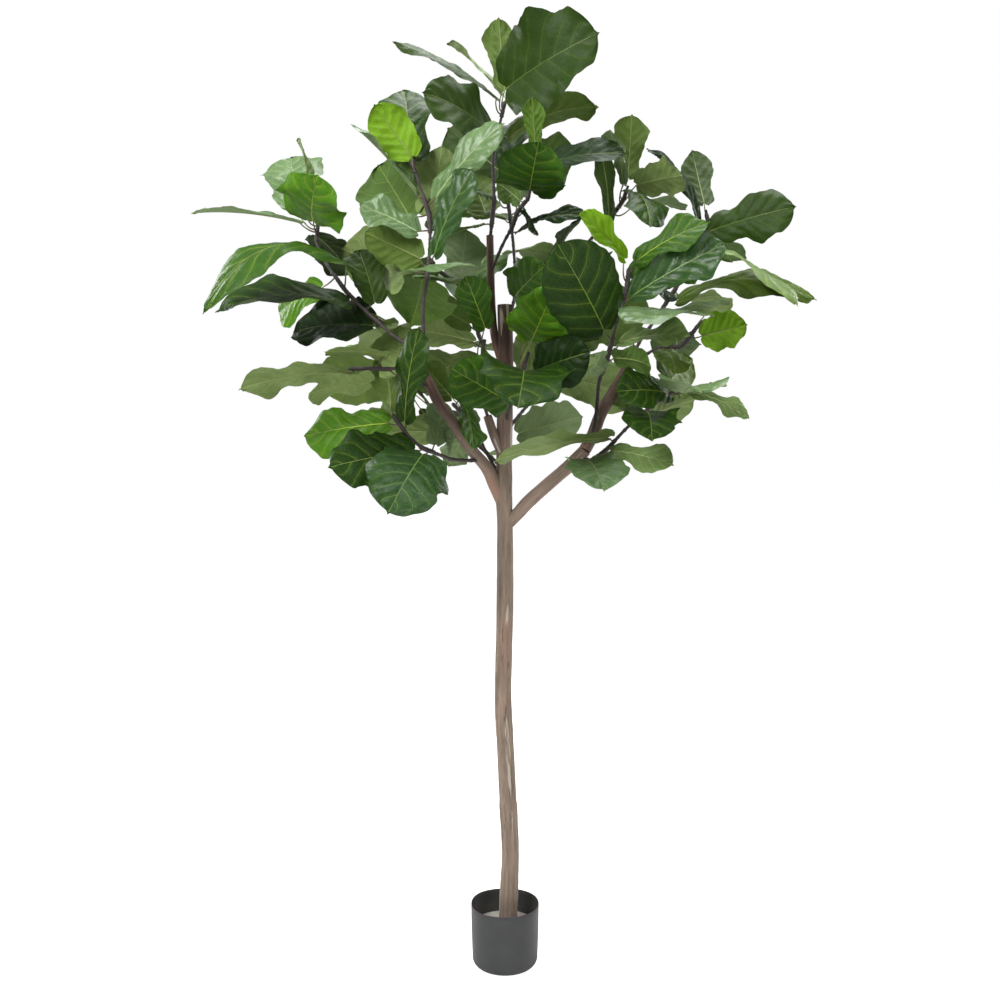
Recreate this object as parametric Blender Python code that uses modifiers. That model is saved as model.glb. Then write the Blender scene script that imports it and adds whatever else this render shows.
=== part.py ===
"""A tall fiddle leaf fig of wood, dark twigs and leaf clusters, set in a filled nursery pot.

Metres, +Z up. The origin is the centre of the pot's foot, on the surface that it stands on.
The tree's own tables are in centimetres.
"""

import math

import bmesh
import bpy
from mathutils import Vector
from mathutils.bvhtree import BVHTree

CM = 0.01
GAP = 0.0003

POT_RIM_RADIUS = 0.097
POT_FOOT_RADIUS = 0.089
POT_HEIGHT = 0.166
POT_WALL = 0.0022
POT_CORNER = 0.019
POT_STEPS = 48
CORNER_STEPS = 5
FILLER_TOP = 0.105

WOOD_RESOLUTION = 4
TWIG_RESOLUTION = 1
SLEEVE_WALL = 0.0014
SLEEVE_END = 0.007
SLEEVE_FIRST = 0.03
SLEEVE_LONGEST = 0.09
STALK_SPACING = 0.009
STALK_RADIUS = 0.0019
STALK_SHORTEST = 0.034
BLADE_THICKNESS = 0.0016
BLADE_FOLD = 0.16
UP = "up"

# From base to tip: how far along a blade, and its half width there as a share of its widest,
# on a blade with a waist and on a round one.
OUTLINE = (
    (0.0, 0.10, 0.10), (0.12, 0.60, 0.74), (0.38, 0.62, 0.98), (0.66, 1.0, 0.96), (0.88, 0.76, 0.66),
    (1.0, 0.10, 0.10),
)
# Blades up to the first of these shares of width to length have a waist, and past the second are round.
WAISTED_SHARE = 0.58
ROUND_SHARE = 0.74

CLEARANCE = 0.003
TWIG_CLEARANCE = 0.0085
STALK_CLEARANCE = 0.003
STALK_SKIP = 0.016
SWING_STEP = 0.022
SWING_STEPS = 9
SWINGS = (
    (0, 1, 0), (0, -1, 0), (0, 0, 1), (0, 0, -1), (1, 0, 0), (-1, 0, 0),
    (0, 0.7, 0.7), (0, -0.7, 0.7), (0, 0.7, -0.7), (0, -0.7, -0.7),
    (0.6, 0.6, 0.5), (-0.6, -0.6, 0.5), (0.6, -0.6, -0.5), (-0.6, 0.6, -0.5),
)

# name: (what it is fixed to, radius at its start, radius at its end, its centre line), all in cm
WOOD = {
    "trunk": (None, 2.55, 2.1, [
        (0.8, 0, 2.5), (0.8, 0, 10.5), (1.25, 0, 22.8), (1.5, 0, 31.1), (0.8, 0, 45), (0.15, 0, 58.9),
        (-0.55, 0, 72.8), (-0.3, 0, 86.6), (0, 0, 100.5), (0, 0, 119.9), (-0.3, 0, 131),
        (-0.15, 0, 144.9), (0, 0, 156), (0.15, 0, 167.1), (0, 0, 182.4)]),
    "leader": ("trunk", 1.15, 1.0, [
        (-1.0, 0.6, 167), (-2.9, 1.3, 174), (-3.7, 1.1, 182), (-4.0, 0.7, 192), (-4.2, 0.5, 201.8)]),
    "left_limb": ("trunk", 1.8, 1.3, [
        (-0.6, 0, 127.5), (-2.4, -0.6, 131.4), (-5.0, -3, 137.2), (-9.5, -7, 142.7), (-13.4, -11, 148.8),
        (-17.1, -14, 154), (-19.6, -17, 159.1), (-21.2, -20, 162.3)]),
    "right_limb_lower": ("trunk", 1.8, 1.75, [
        (0.4, 0, 121.5), (3.0, -0.8, 124), (6.9, -2, 128.3), (12.4, -4, 133.3), (17.8, -5, 138),
        (21.8, -6, 142.1)]),
    "right_limb_upper": ("right_limb_lower", 1.7, 1.6, [
        (21.7, -5.9, 142.1), (24, -5, 146.3), (26.2, -3, 151.8), (29.6, 0, 157.4), (32.7, 2, 162.2),
        (36.9, 4, 170.3)]),
    "stub_branch": ("trunk", 1.25, 1.15, [(-0.6, -0.3, 140.5), (-2.6, -1.5, 145), (-4.8, -3, 151.5)]),
}
TWIGS = {
    "left_main_twig": ("left_limb", 0.5, 0.36, [
        (-20.8, -19.4, 161.2), (-20.9, -20.2, 168), (-21.2, -20, 179.6), (-20.1, -20, 186),
        (-19.6, -19.4, 192.5), (-19.4, -19, 198.4), (-19.7, -18.6, 203.1), (-21.9, -18, 210),
        (-24.5, -17, 217.8)]),
    "far_left_twig": ("left_main_twig", 0.45, 0.36, [
        (-20.9, -20.1, 167.8), (-27.4, -18, 170.8), (-35.6, -14, 177.7), (-42.6, -11, 184.7),
        (-48.4, -8, 192.7), (-51, -7, 198.7), (-50.8, -6, 204)]),
    "low_left_twig": ("left_limb", 0.5, 0.4, [
        (-6.8, -4.8, 139.4), (-9.4, -7.4, 139.3), (-14, -9.6, 139.6), (-17.3, -12, 140.8),
        (-21.8, -15, 142.7), (-26, -18, 146.8), (-29.3, -19, 151.4)]),
    "crown_twig": ("leader", 0.5, 0.36, [
        (-4.15, 0.55, 200.6), (-3.6, 0.8, 206), (-3.05, 1, 211.5), (-3.3, 2, 222.6), (-1.9, 2, 230.9),
        (0, 1, 239.3)]),
    "crown_right_twig": ("leader", 0.45, 0.36, [
        (-4.0, 0.5, 191), (-2.1, -2, 195.4), (0, -4, 199.6), (1.9, -5, 202.8), (3.5, -6, 206.8),
        (6.2, -7, 210.4), (7.8, -8, 219)]),
    "inner_left_twig": ("leader", 0.45, 0.38, [
        (-3.7, 1.1, 181.8), (-7, 2.2, 184.6), (-10.9, 4, 187.7), (-14.9, 5, 190), (-17.5, 6, 192),
        (-21.2, 7, 195.5)]),
    "upper_right_twig": ("trunk", 0.48, 0.36, [
        (0.6, 0.2, 177), (4.7, 1, 181.8), (9.8, 3, 187.5), (16.9, 5, 195.2), (24.1, 7, 201.8),
        (29.9, 8, 208.3), (33.5, 9, 213.1), (35.2, 9, 217.7)]),
    "right_main_twig": ("right_limb_upper", 0.5, 0.36, [
        (23.6, -5.2, 145.6), (24.2, -8.4, 149), (24.8, -9.6, 155.6), (25.2, -10.4, 160.4),
        (26.9, -12, 165.6), (28.1, -13, 170), (29.3, -14, 175.2), (30.8, -15, 180.3), (32, -16, 185.4),
        (32.5, -16, 189.9)]),
    "far_right_twig": ("right_limb_upper", 0.5, 0.36, [
        (36.3, 3.8, 169.2), (38.3, 4.4, 173.2), (42.3, 5, 178.8), (48.1, 6, 187.5), (52.5, 7, 193.3),
        (55.6, 8, 200.6), (57.9, 8, 205.5), (57.5, 9, 210.8)]),
    "low_right_twig": ("right_limb_lower", 0.48, 0.38, [
        (19.9, -5.5, 140.1), (23.4, -8.2, 139.4), (27.2, -9.6, 142.2), (31.9, -12, 147.5),
        (35.8, -13, 151.1), (41.1, -13, 155.4), (46.4, -13, 158.6)]),
    "outer_right_twig": ("right_limb_upper", 0.45, 0.38, [
        (34.9, 3.1, 166.4), (38.4, 1.8, 168.2), (43, 0, 170.6), (49, -2, 171), (53.9, -4, 177.7)]),
    "front_twig": ("trunk", 0.48, 0.38, [
        (0.2, -0.4, 149.5), (1.0, -4, 153), (2.1, -6.4, 157.1), (4.3, -9, 162.3), (6.4, -11, 168.3)]),
    "inner_low_twig": ("trunk", 0.45, 0.38, [
        (-0.6, 0.4, 134), (-3.6, 2, 138.6), (-5.8, 2.6, 142.6), (-8.3, 3, 147.8), (-11.7, 3, 152),
        (-14.8, 3, 155.3)]),
    "stub_twig": ("stub_branch", 0.45, 0.38, [
        (-4.5, -2.8, 150.5), (-5.8, -4.6, 155), (-6.8, -6.4, 160), (-6.5, -8, 166), (-5.5, -8.4, 172)]),
    "outer_left_twig": ("left_limb", 0.45, 0.38, [
        (-19.4, -16.8, 158.8), (-22.6, -21, 159.4), (-26.8, -23.4, 162.6), (-33.1, -24.4, 162.8),
        (-39.8, -25, 162.7)]),
    "back_left_twig": ("trunk", 0.48, 0.38, [
        (-0.1, 0.4, 156), (-2, 6, 161), (-4, 12, 167), (-8, 22, 177), (-10, 30, 188)]),
    "back_right_twig": ("trunk", 0.48, 0.38, [
        (0.2, 0.4, 147), (4, 7, 152), (8, 14, 157), (14, 25, 166), (18, 34, 178)]),
    "back_low_twig": ("trunk", 0.48, 0.38, [
        (-0.5, 0.5, 137), (-6, 7, 142), (-12, 13, 147), (-22, 22, 155), (-30, 30, 166)]),
    "back_crown_twig": ("trunk", 0.48, 0.38, [
        (0.1, 0.6, 174), (2, 5, 182), (3, 9, 190), (2, 14, 206), (0, 18, 222)]),
}

# name: (the twig that the cluster's sleeve is on, its leaves). A leaf is its base (x, z) in cm, its tip
# (x, y, z) in cm, its width as a share of its length, the turn of its face in degrees and its bow.
# A face of 0 looks to -Y, 90 looks up, or outwards on an upright leaf, and 180 looks to +Y.
CLUSTERS = {
    "leaves_far_left_top": ("far_left_twig", [
        ((-56, 204), (-86, -4, 207), 0.52, 80, 0.04),
        ((-57.5, 209), (-63.5, 20, 229), 0.60, 14, 0.05),
        ((-55, 211), (-59, 6, 230), 0.40, 88, 0.08),
        ((-51.5, 203.5), (-47.5, -25, 212), 1.02, 0, 0.10),
        ((-52, 201), (-45, 15, 193), 0.60, 150, 0.08)]),
    "leaves_far_left_middle": ("far_left_twig", [
        ((-42, 191), (-74.5, -34, 176), 0.42, 52, 0.26),
        ((-40.5, 181), (-72, -24, 177.5), 0.60, 58, 0.10),
        ((-50, 186), (-65.5, 12, 181.5), 0.50, 10, 0.06)]),
    "leaves_far_left_low": ("far_left_twig", [
        ((-33.5, 175.6), (-56, -4, 174.5), 0.72, 44, 0.06),
        ((-40, 175), (-52, 26, 171), 0.50, 165, 0.05),
        ((-32, 176.5), (-41.5, 6, 178.5), 0.50, 100, 0.05),
        ((-34.7, 181.5), (-40, -4, 197), 0.62, 20, 0.05)]),
    "leaves_left_tier": ("outer_left_twig", [
        ((-40.5, 162), (-66, -27, 157.5), 0.46, 124, 0.06),
        ((-34, 159), (-47, -40, 155.5), 0.62, 120, 0.05),
        ((-30, 166), (-44, -36, 166), 0.50, 112, 0.04),
        ((-28, 164), (-29, -4, 183), 0.58, 180, 0.06)]),
    "leaves_left_centre": ("left_main_twig", [
        ((-20, 190.5), (-34.5, -17, 198), 0.68, 164, 0.05),
        ((-27, 188.5), (-49, -4, 200.5), 0.62, 165, 0.06),
        ((-19.2, 190.5), (-9, -28, 210.5), 0.56, 42, 0.05),
        ((-22, 187), (-28, 16, 178), 0.64, 172, 0.06),
        ((-26.5, 187.5), (-7.5, -33, 187.5), 0.34, 76, 0.03)]),
    "leaves_left_upper": ("left_main_twig", [
        ((-20.5, 198), (-35.5, -20, 204.5), 0.60, 24, 0.05),
        ((-25, 203.5), (-36, 6, 223), 0.70, 175, 0.05),
        ((-20, 204), (-17, -6, 225), 0.54, 178, 0.05),
        ((-18, 207), (-0.8, -30, 223.5), 0.44, 30, 0.06),
        ((-22.6, 208.5), (-39.5, -14, 227), 0.42, 82, 0.03)]),
    "leaves_left_crown": ("left_main_twig", [
        ((-24.5, 217.5), (-35.5, -19, 229.5), 0.70, 176, 0.06),
        ((-24.5, 219.5), (-29, 8, 245), 0.46, 10, 0.05),
        ((-23.6, 219), (-19, 8, 233), 0.42, 170, 0.05)]),
    "leaves_low_left_end": ("low_left_twig", [
        ((-29, 149.4), (-52, -12, 146), 0.58, 20, 0.05),
        ((-30, 152), (-34, -5, 170), 0.50, 160, 0.05),
        ((-26, 149), (-21.5, -30, 172), 0.42, 34, 0.04)]),
    "leaves_low_left_middle": ("low_left_twig", [
        ((-22.6, 142), (-43, -29, 138), 0.66, 14, 0.06),
        ((-21.4, 141), (-28.5, -38, 126), 0.76, 4, 0.08),
        ((-18.6, 143), (-17, -1, 155), 0.58, 172, 0.05)]),
    "leaves_inner_low": ("inner_low_twig", [
        ((-15, 157), (-24, 12, 167), 0.60, 170, 0.05),
        ((-13.6, 157), (-9, 12, 171), 0.62, 174, 0.05),
        ((-15, 157), (-17, -17, 142), 0.36, 50, 0.05),
        ((-12, 150), (-17, -9, 143), 0.52, 120, 0.06)]),
    "leaves_stub": ("stub_twig", [
        ((-5.4, 175), (-10.5, -16, 188), 0.62, 8, 0.05),
        ((-7, 171), (-22, -14, 173.5), 0.50, 150, 0.05)]),
    "leaves_inner_left": ("inner_left_twig", [
        ((-7, 187), (-27, -15, 187.5), 0.40, 84, 0.03),
        ((-12, 190), (-11.5, 20, 207), 0.64, 172, 0.05),
        ((-20, 194), (-36, 20, 192), 0.60, 150, 0.06)]),
    "leaves_front": ("front_twig", [
        ((1, 155), (-14, -24, 163), 0.64, 0, 0.07),
        ((5, 163), (3, -44, 151.5), 0.70, 0, 0.08),
        ((8, 163), (20.5, -26, 166), 0.74, 8, 0.06),
        ((7.2, 171), (12.6, -29, 181.5), 0.76, 0, 0.07),
        ((5.6, 171.5), (2, -19, 177), 0.46, 0, 0.04)]),
    "leaves_crown_low": ("crown_twig", [
        ((-5, 207), (-9.6, 13, 221), 0.66, 176, 0.05),
        ((-5.4, 212), (-9, -15, 210), 0.52, 36, 0.06),
        ((-5.4, 205), (-19, -8, 198), 0.36, 84, 0.04)]),
    "leaves_crown_middle": ("crown_twig", [
        ((-1.6, 228), (-20.6, -17, 235), 0.72, 34, 0.08),
        ((1.0, 229), (25.5, -4, 236), 0.48, 118, 0.12)]),
    "leaves_crown_top": ("crown_twig", [
        ((-2.6, 240), (-30.5, -8, 252.5), 0.42, 66, 0.05),
        ((-1.2, 242), (-17, 15, 261), 0.34, 74, 0.04),
        ((-0.7, 243), (-4, 8, 265.5), 0.42, 172, 0.03),
        ((0.6, 242), (24.6, -19, 250.5), 0.80, 6, 0.06)]),
    "leaves_crown_right_low": ("crown_right_twig", [
        ((3, 201), (20.5, -17, 203), 0.50, 60, 0.10),
        ((4.6, 209.6), (-2, 7, 218), 0.50, 150, 0.06),
        ((5.2, 206.6), (6, -24, 198), 0.40, 60, 0.04)]),
    "leaves_crown_right_end": ("crown_right_twig", [
        ((8.2, 221.5), (7, -14, 235.5), 0.40, 168, 0.04),
        ((6.6, 211.5), (8.6, -25, 220.5), 1.0, 0, 0.08),
        ((10.5, 219.5), (32, -12, 221), 0.60, 40, 0.06)]),
    "leaves_upper_right_low": ("upper_right_twig", [
        ((2.6, 184.6), (10.5, -17, 190.5), 0.70, 0, 0.06),
        ((13.6, 195), (20.5, -12, 204), 0.50, 110, 0.06),
        ((20, 201), (28, 26, 196), 0.60, UP, 0.08)]),
    "leaves_upper_right_end": ("upper_right_twig", [
        ((35.2, 220.5), (37, 14, 240), 0.52, 175, 0.04),
        ((33.5, 216.4), (27.5, -12, 224), 0.40, 104, 0.04),
        ((37.4, 217.4), (48, -7, 216.5), 0.66, 148, 0.05),
        ((30, 205.4), (26, 2, 228), 0.36, 126, 0.05),
        ((35.8, 215), (38.5, -14, 201), 0.50, 30, 0.10),
        ((37.4, 213), (53.5, 18, 213), 0.55, 95, 0.05)]),
    "leaves_right_middle": ("right_main_twig", [
        ((28.6, 167), (36, -30, 163), 0.55, 126, 0.06),
        ((30.6, 170.6), (47.6, -22, 171.5), 0.58, 52, 0.06),
        ((25.8, 173), (12, -36, 191.3), 0.70, 2, 0.06),
        ((24, 163), (14.5, -27, 163.5), 0.50, 150, 0.05)]),
    "leaves_right_upper": ("right_main_twig", [
        ((31, 192), (18.5, -29, 201.5), 0.42, 30, 0.05),
        ((34.6, 191.6), (52, -25, 200), 0.54, 34, 0.07),
        ((34, 187), (54, -9, 196), 0.66, 10, 0.05),
        ((32.4, 182), (54.5, -28, 193.5), 0.50, 22, 0.05)]),
    "leaves_far_right_low": ("far_right_twig", [
        ((49, 184.6), (84, -8, 183), 0.44, 56, 0.16),
        ((45.6, 186), (40, -13, 184), 0.50, 20, 0.06),
        ((50, 186), (66, 26, 183), 0.60, UP, 0.08),
        ((45, 180), (60, -7, 182), 0.42, 100, 0.04)]),
    "leaves_far_right_top": ("far_right_twig", [
        ((56, 207), (42, 12, 228), 0.44, 58, 0.10),
        ((57.4, 213.4), (56.5, 26, 233), 0.40, 165, 0.04),
        ((56, 203.5), (77, -7, 207.5), 0.60, 10, 0.06),
        ((56, 198), (74, -20, 174), 0.34, 66, 0.06),
        ((58, 202), (70, 32, 200), 0.60, UP, 0.08)]),
    "leaves_outer_right": ("outer_right_twig", [
        ((50, 173), (62.5, -4, 175.5), 0.82, 172, 0.05),
        ((52, 179.6), (24, -27, 178), 0.48, 70, 0.05),
        ((44, 169), (44, -20, 162), 0.52, 20, 0.06),
        ((48, 174), (52, 26, 168), 0.60, UP, 0.08)]),
    "leaves_low_right_start": ("low_right_twig", [
        ((28.5, 146), (-1.5, -27, 139.5), 0.42, 112, 0.04),
        ((27, 142.4), (42, -23, 138.5), 0.52, 38, 0.05),
        ((22, 139.5), (24.5, -33, 132), 0.68, 14, 0.07)]),
    "leaves_low_right_middle": ("low_right_twig", [
        ((37, 153), (36, -34, 144.5), 0.74, 0, 0.08),
        ((34.6, 153), (32.5, 4, 160), 0.50, 176, 0.05),
        ((38.4, 151), (54, 6, 156.5), 0.56, 158, 0.05)]),
    "leaves_low_right_end": ("low_right_twig", [
        ((44, 158.4), (28.5, -30, 161), 0.54, 26, 0.06),
        ((47, 157), (47, -40, 156), 0.72, 0, 0.07),
        ((48, 158), (62.5, -20, 150.5), 0.46, 50, 0.08),
        ((44.4, 161.6), (53, 6, 170), 0.72, 178, 0.05)]),
    "leaves_back_left": ("back_left_twig", [
        ((-10, 180), (-34, 28, 190), 0.62, 150, 0.08),
        ((-11, 187), (-24, 48, 198), 0.66, UP, 0.10),
        ((-9.6, 190), (-5, 50, 206), 0.62, UP, 0.10),
        ((-7, 173), (4, 44, 170), 0.62, UP, 0.10),
        ((-8, 168), (-30, 20, 164), 0.58, 160, 0.08)]),
    "leaves_back_right": ("back_right_twig", [
        ((4, 147), (23, 16, 152), 0.70, 166, 0.05),
        ((20, 176), (46, 38, 186), 0.62, 150, 0.08),
        ((18, 172), (34, 54, 170), 0.66, UP, 0.10),
        ((18, 181), (17, 52, 200), 0.62, UP, 0.10),
        ((12, 160), (0, 46, 158), 0.62, UP, 0.10),
        ((16, 164), (42, 30, 158), 0.60, 160, 0.08),
        ((10, 160), (11, 27, 178), 0.64, 168, 0.06)]),
    "leaves_back_low": ("back_low_twig", [
        ((-4, 141), (16, 10, 144), 0.42, 108, 0.05),
        ((-31, 165), (-58, 34, 172), 0.62, 150, 0.08),
        ((-29, 160), (-42, 56, 158), 0.66, UP, 0.10),
        ((-33, 168), (-54, 46, 180), 0.60, UP, 0.08),
        ((-22, 152), (-14, 50, 150), 0.62, UP, 0.10),
        ((-16, 148), (-42, 16, 146), 0.56, 160, 0.08),
        ((-11, 149), (-17, 25, 137), 0.60, 172, 0.06)]),
    "leaves_back_crown": ("back_crown_twig", [
        ((-1, 224), (-18, 34, 242), 0.60, 160, 0.06),
        ((2, 220), (22, 32, 235), 0.56, 150, 0.08),
        ((0, 210), (-24, 34, 210), 0.62, UP, 0.10),
        ((1, 224.5), (10, 38, 240), 0.62, UP, 0.08),
        ((3, 200), (20, 42, 196), 0.66, UP, 0.10)]),
}

COLOURS = {
    "pot": ((0.035, 0.036, 0.036), 0.45),
    "filler": ((0.58, 0.58, 0.53), 0.9),
    "wood": ((0.22, 0.16, 0.13), 0.8),
    "twig": ((0.021, 0.015, 0.016), 0.5),
    "leaf": ((0.035, 0.095, 0.022), 0.4),
}


# The scene's collections, materials and objects

def empty_scene():
    for ob in list(bpy.data.objects):
        bpy.data.objects.remove(ob)


def new_collection(name):
    collection = bpy.data.collections.new(name)
    bpy.context.scene.collection.children.link(collection)
    return collection


def new_material(name, finish):
    colour, roughness = COLOURS[finish]
    material = bpy.data.materials.new(name)
    material.use_nodes = True
    shader = material.node_tree.nodes["Principled BSDF"]
    shader.inputs["Base Color"].default_value = (*colour, 1)
    shader.inputs["Roughness"].default_value = roughness
    shader.inputs["Metallic"].default_value = 0
    return material


def new_part(name, mesh, collection, finish):
    ob = bpy.data.objects.new(name, mesh)
    ob.data.materials.clear()
    ob.data.materials.append(new_material(name, finish))
    collection.objects.link(ob)
    return ob


def new_cutter(name, mesh, collection):
    ob = bpy.data.objects.new(name, mesh)
    ob.hide_render = True
    ob.display_type = "WIRE"
    collection.objects.link(ob)
    return ob


def combine(ob, other, operation, solver="EXACT"):
    boolean = ob.modifiers.new(f"{operation.lower()} {other.name}", "BOOLEAN")
    boolean.operation = operation
    boolean.solver = solver
    boolean.object = other


# The pot and its filler

def pot_side(z, inset=0.0):
    slope = (POT_RIM_RADIUS - POT_FOOT_RADIUS) / POT_HEIGHT
    return POT_FOOT_RADIUS + slope * z - inset


def pot_corner(inset=0.0):
    """The rounded bottom edge, from the side down to the foot."""
    radius = POT_CORNER - inset
    centre = pot_side(POT_CORNER) - POT_CORNER
    turns = [math.pi / 2 * step / CORNER_STEPS for step in range(CORNER_STEPS + 1)]
    return [(centre + radius * math.cos(a), POT_CORNER - radius * math.sin(a)) for a in turns]


def turned(name, profile, collection, finish):
    mesh = bpy.data.meshes.new(name)
    points = [(r, 0, z) for r, z in profile]
    mesh.from_pydata(points, [(i, i + 1) for i in range(len(points) - 1)], [])
    ob = new_part(name, mesh, collection, finish)
    screw = ob.modifiers.new("turn", "SCREW")
    screw.steps = screw.render_steps = POT_STEPS
    screw.use_merge_vertices = True
    screw.merge_threshold = 0.0001
    screw.use_smooth_shade = True
    return ob


def build_pot(parts):
    profile = [(POT_RIM_RADIUS, POT_HEIGHT), *pot_corner(), (0, 0)]
    pot = turned("nursery_pot", profile, parts, "pot")
    wall = pot.modifiers.new("wall", "SOLIDIFY")
    wall.thickness = POT_WALL
    wall.offset = -1
    wall.use_even_offset = True


def build_filler(parts, cutters, trunk_bore):
    inset = POT_WALL + 2 * GAP
    top_edge = (pot_side(FILLER_TOP, inset), FILLER_TOP)
    profile = [(0, FILLER_TOP), top_edge, *pot_corner(inset), (0, inset)]
    filler = turned("filler", profile, parts, "filler")
    combine(filler, trunk_bore, "DIFFERENCE")


# Wood and twigs

def tapered(line, start, end):
    last = len(line) - 1
    return [start + (end - start) * i / last for i in range(last + 1)]


def tube_mesh(name, line, radii, resolution):
    """A tube with flat ends, as a welded mesh."""
    curve = bpy.data.curves.new(name, "CURVE")
    curve.dimensions = "3D"
    curve.bevel_depth = 1.0
    curve.bevel_resolution = resolution
    curve.use_fill_caps = True
    spline = curve.splines.new("POLY")
    spline.points.add(len(line) - 1)
    for point, place, radius in zip(spline.points, line, radii):
        point.co = (*place, 1)
        point.radius = radius
    ob = bpy.data.objects.new(name, curve)
    bpy.context.scene.collection.objects.link(ob)
    shape = ob.evaluated_get(bpy.context.evaluated_depsgraph_get())
    mesh = bpy.data.meshes.new_from_object(shape)
    bpy.data.objects.remove(ob)
    bpy.data.curves.remove(curve)
    bm = bmesh.new()
    bm.from_mesh(mesh)
    bmesh.ops.remove_doubles(bm, verts=bm.verts, dist=1e-6)
    bmesh.ops.recalc_face_normals(bm, faces=bm.faces)
    bm.to_mesh(mesh)
    bm.free()
    mesh.shade_smooth()
    mesh.set_sharp_from_angle(angle=math.radians(50))
    return mesh


class Stem:
    """A wood or twig piece's centre line, in metres, and its radii along it."""

    def __init__(self, row):
        self.parent, start, end, points = row
        self.line = [Vector(point) * CM for point in points]
        self.radii = tapered(self.line, start * CM, end * CM)

    def mesh(self, name, resolution, wider=0.0):
        return tube_mesh(name, self.line, [r + wider for r in self.radii], resolution)

    def distances(self):
        total = [0.0]
        for a, b in zip(self.line, self.line[1:]):
            total.append(total[-1] + (b - a).length)
        return total

    def place(self, distance):
        total = self.distances()
        for i, (a, b) in enumerate(zip(self.line, self.line[1:])):
            if distance <= total[i + 1] or i == len(self.line) - 2:
                return a.lerp(b, min(1.0, (distance - total[i]) / (b - a).length))

    def nearest(self, x, z):
        """The distance along the stem where it passes closest to (x, z), seen from the front."""
        best = (math.inf, 0.0)
        total = self.distances()
        for i, (a, b) in enumerate(zip(self.line, self.line[1:])):
            run = b - a
            flat = run.x**2 + run.z**2
            share = ((x - a.x) * run.x + (z - a.z) * run.z) / flat
            share = min(1.0, max(0.0, share))
            spot = a + run * share
            best = min(best, (math.hypot(x - spot.x, z - spot.z), total[i] + share * run.length))
        return best[1]

    def stretch(self, start, end):
        """The centre line between two distances."""
        total = self.distances()
        inner = [p for p, d in zip(self.line, total) if start + 0.002 < d < end - 0.002]
        return [self.place(start), *inner, self.place(end)]


def build_stems(stems, parts, cutters):
    for name, stem in stems.items():
        wood = name in WOOD
        resolution = WOOD_RESOLUTION if wood else TWIG_RESOLUTION
        ob = new_part(name, stem.mesh(name, resolution), parts, "wood" if wood else "twig")
        if stem.parent:
            combine(ob, cutters.objects[f"{stem.parent} room"], "DIFFERENCE")


def build_rooms(stems, cutters):
    """For each stem, the slightly wider room that pieces around it leave."""
    for name, stem in stems.items():
        resolution = WOOD_RESOLUTION if name in WOOD else TWIG_RESOLUTION
        new_cutter(f"{name} room", stem.mesh(f"{name} room", resolution, GAP), cutters)


# Leaves

class Leaf:
    """One leaf's stalk and blade, placed from its row and moved aside by a swing."""

    def __init__(self, row, stem, distance, swing):
        base, tip, self.width_share, face, self.bow = row
        roundness = (self.width_share - WAISTED_SHARE) / (ROUND_SHARE - WAISTED_SHARE)
        self.roundness = min(1.0, max(0.0, roundness))
        self.root = stem.place(distance)
        self.stem_way = (stem.place(distance + 0.005) - stem.place(distance - 0.005)).normalized()
        self.sleeve_inside = 0.8 * max(stem.radii)
        tip = Vector(tip) * CM
        reach = tip.y - self.root.y
        base = Vector((base[0] * CM, self.root.y + 0.15 * reach, base[1] * CM))
        self.length = (tip - base).length
        base += 0.3 * swing
        tip += swing
        heading = (tip - base).normalized()
        if (base - self.root).length < STALK_SHORTEST:
            away = (base - self.root) + heading * 0.02
            base = self.root + away.normalized() * STALK_SHORTEST
            heading = (tip - base).normalized()
        self.base, self.heading = base, heading
        self.tip = base + heading * self.length
        self.outward = self.away_from_stem(base - self.root + heading * 0.01)
        self.root = self.root + self.outward * self.sleeve_inside
        self.normal = self.facing(face)
        self.side = heading.cross(self.normal).normalized()

    def away_from_stem(self, way):
        return (way - self.stem_way * way.dot(self.stem_way)).normalized()

    def facing(self, face):
        """The way that the blade's upper side looks, square to its heading."""
        if face == UP:
            return self.square(Vector((0, 0, 1)))
        front = self.square(Vector((0, -1, 0)))
        across = self.heading.cross(front)
        guide = across.z if abs(across.z) > 0.15 else across.x * math.copysign(1, self.base.x)
        across *= math.copysign(1, guide)
        turn = math.radians(face)
        return front * math.cos(turn) + across * math.sin(turn)

    def square(self, way):
        return (way - self.heading * way.dot(self.heading)).normalized()

    def midrib(self, t):
        arch = self.normal * (self.bow * self.length * 4 * t * (1 - t))
        return self.base.lerp(self.tip, t) + arch

    def blade_rings(self, thickness):
        """Four points for each step along the blade: left edge, top, right edge, underside."""
        rings = []
        for t, waisted, round_share in OUTLINE:
            share = waisted + (round_share - waisted) * self.roundness
            middle = self.midrib(t)
            along = self.midrib(t + 0.01) - self.midrib(t - 0.01)
            up = self.side.cross(along).normalized()
            half = self.length * self.width_share / 2 * share
            lift = up * (BLADE_FOLD * half)
            edge = self.side * half
            thick = up * (thickness / 2 * (1 - 0.4 * t))
            rings.append([middle - edge + lift, middle + thick, middle + edge + lift, middle - thick])
        return rings

    def stalk_rings(self, start=0.0):
        bend = self.root + self.outward * ((self.base - self.root).length * 0.35)
        rings = []
        for t in (start, (1 + start) / 2):
            middle = self.root.lerp(bend, t).lerp(bend.lerp(self.base, t), t)
            along = bend.lerp(self.base, t) - self.root.lerp(bend, t)
            side = along.cross(self.normal).normalized()
            up = side.cross(along).normalized()
            out, over = side * STALK_RADIUS, up * STALK_RADIUS
            rings.append([middle - out, middle + over, middle + out, middle - over])
        return rings

    def tests(self):
        """The blade and the stalk's outer part, thickened for the clearance tests."""
        skip = min(0.7, STALK_SKIP / (self.base - self.root).length)
        stalk = self.stalk_rings(skip) + self.blade_rings(2 * STALK_CLEARANCE)[:1]
        return tree_of(self.blade_rings(2 * CLEARANCE)), tree_of(stalk)

    def mesh(self, name):
        return loft(name, self.stalk_rings() + self.blade_rings(BLADE_THICKNESS))


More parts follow.
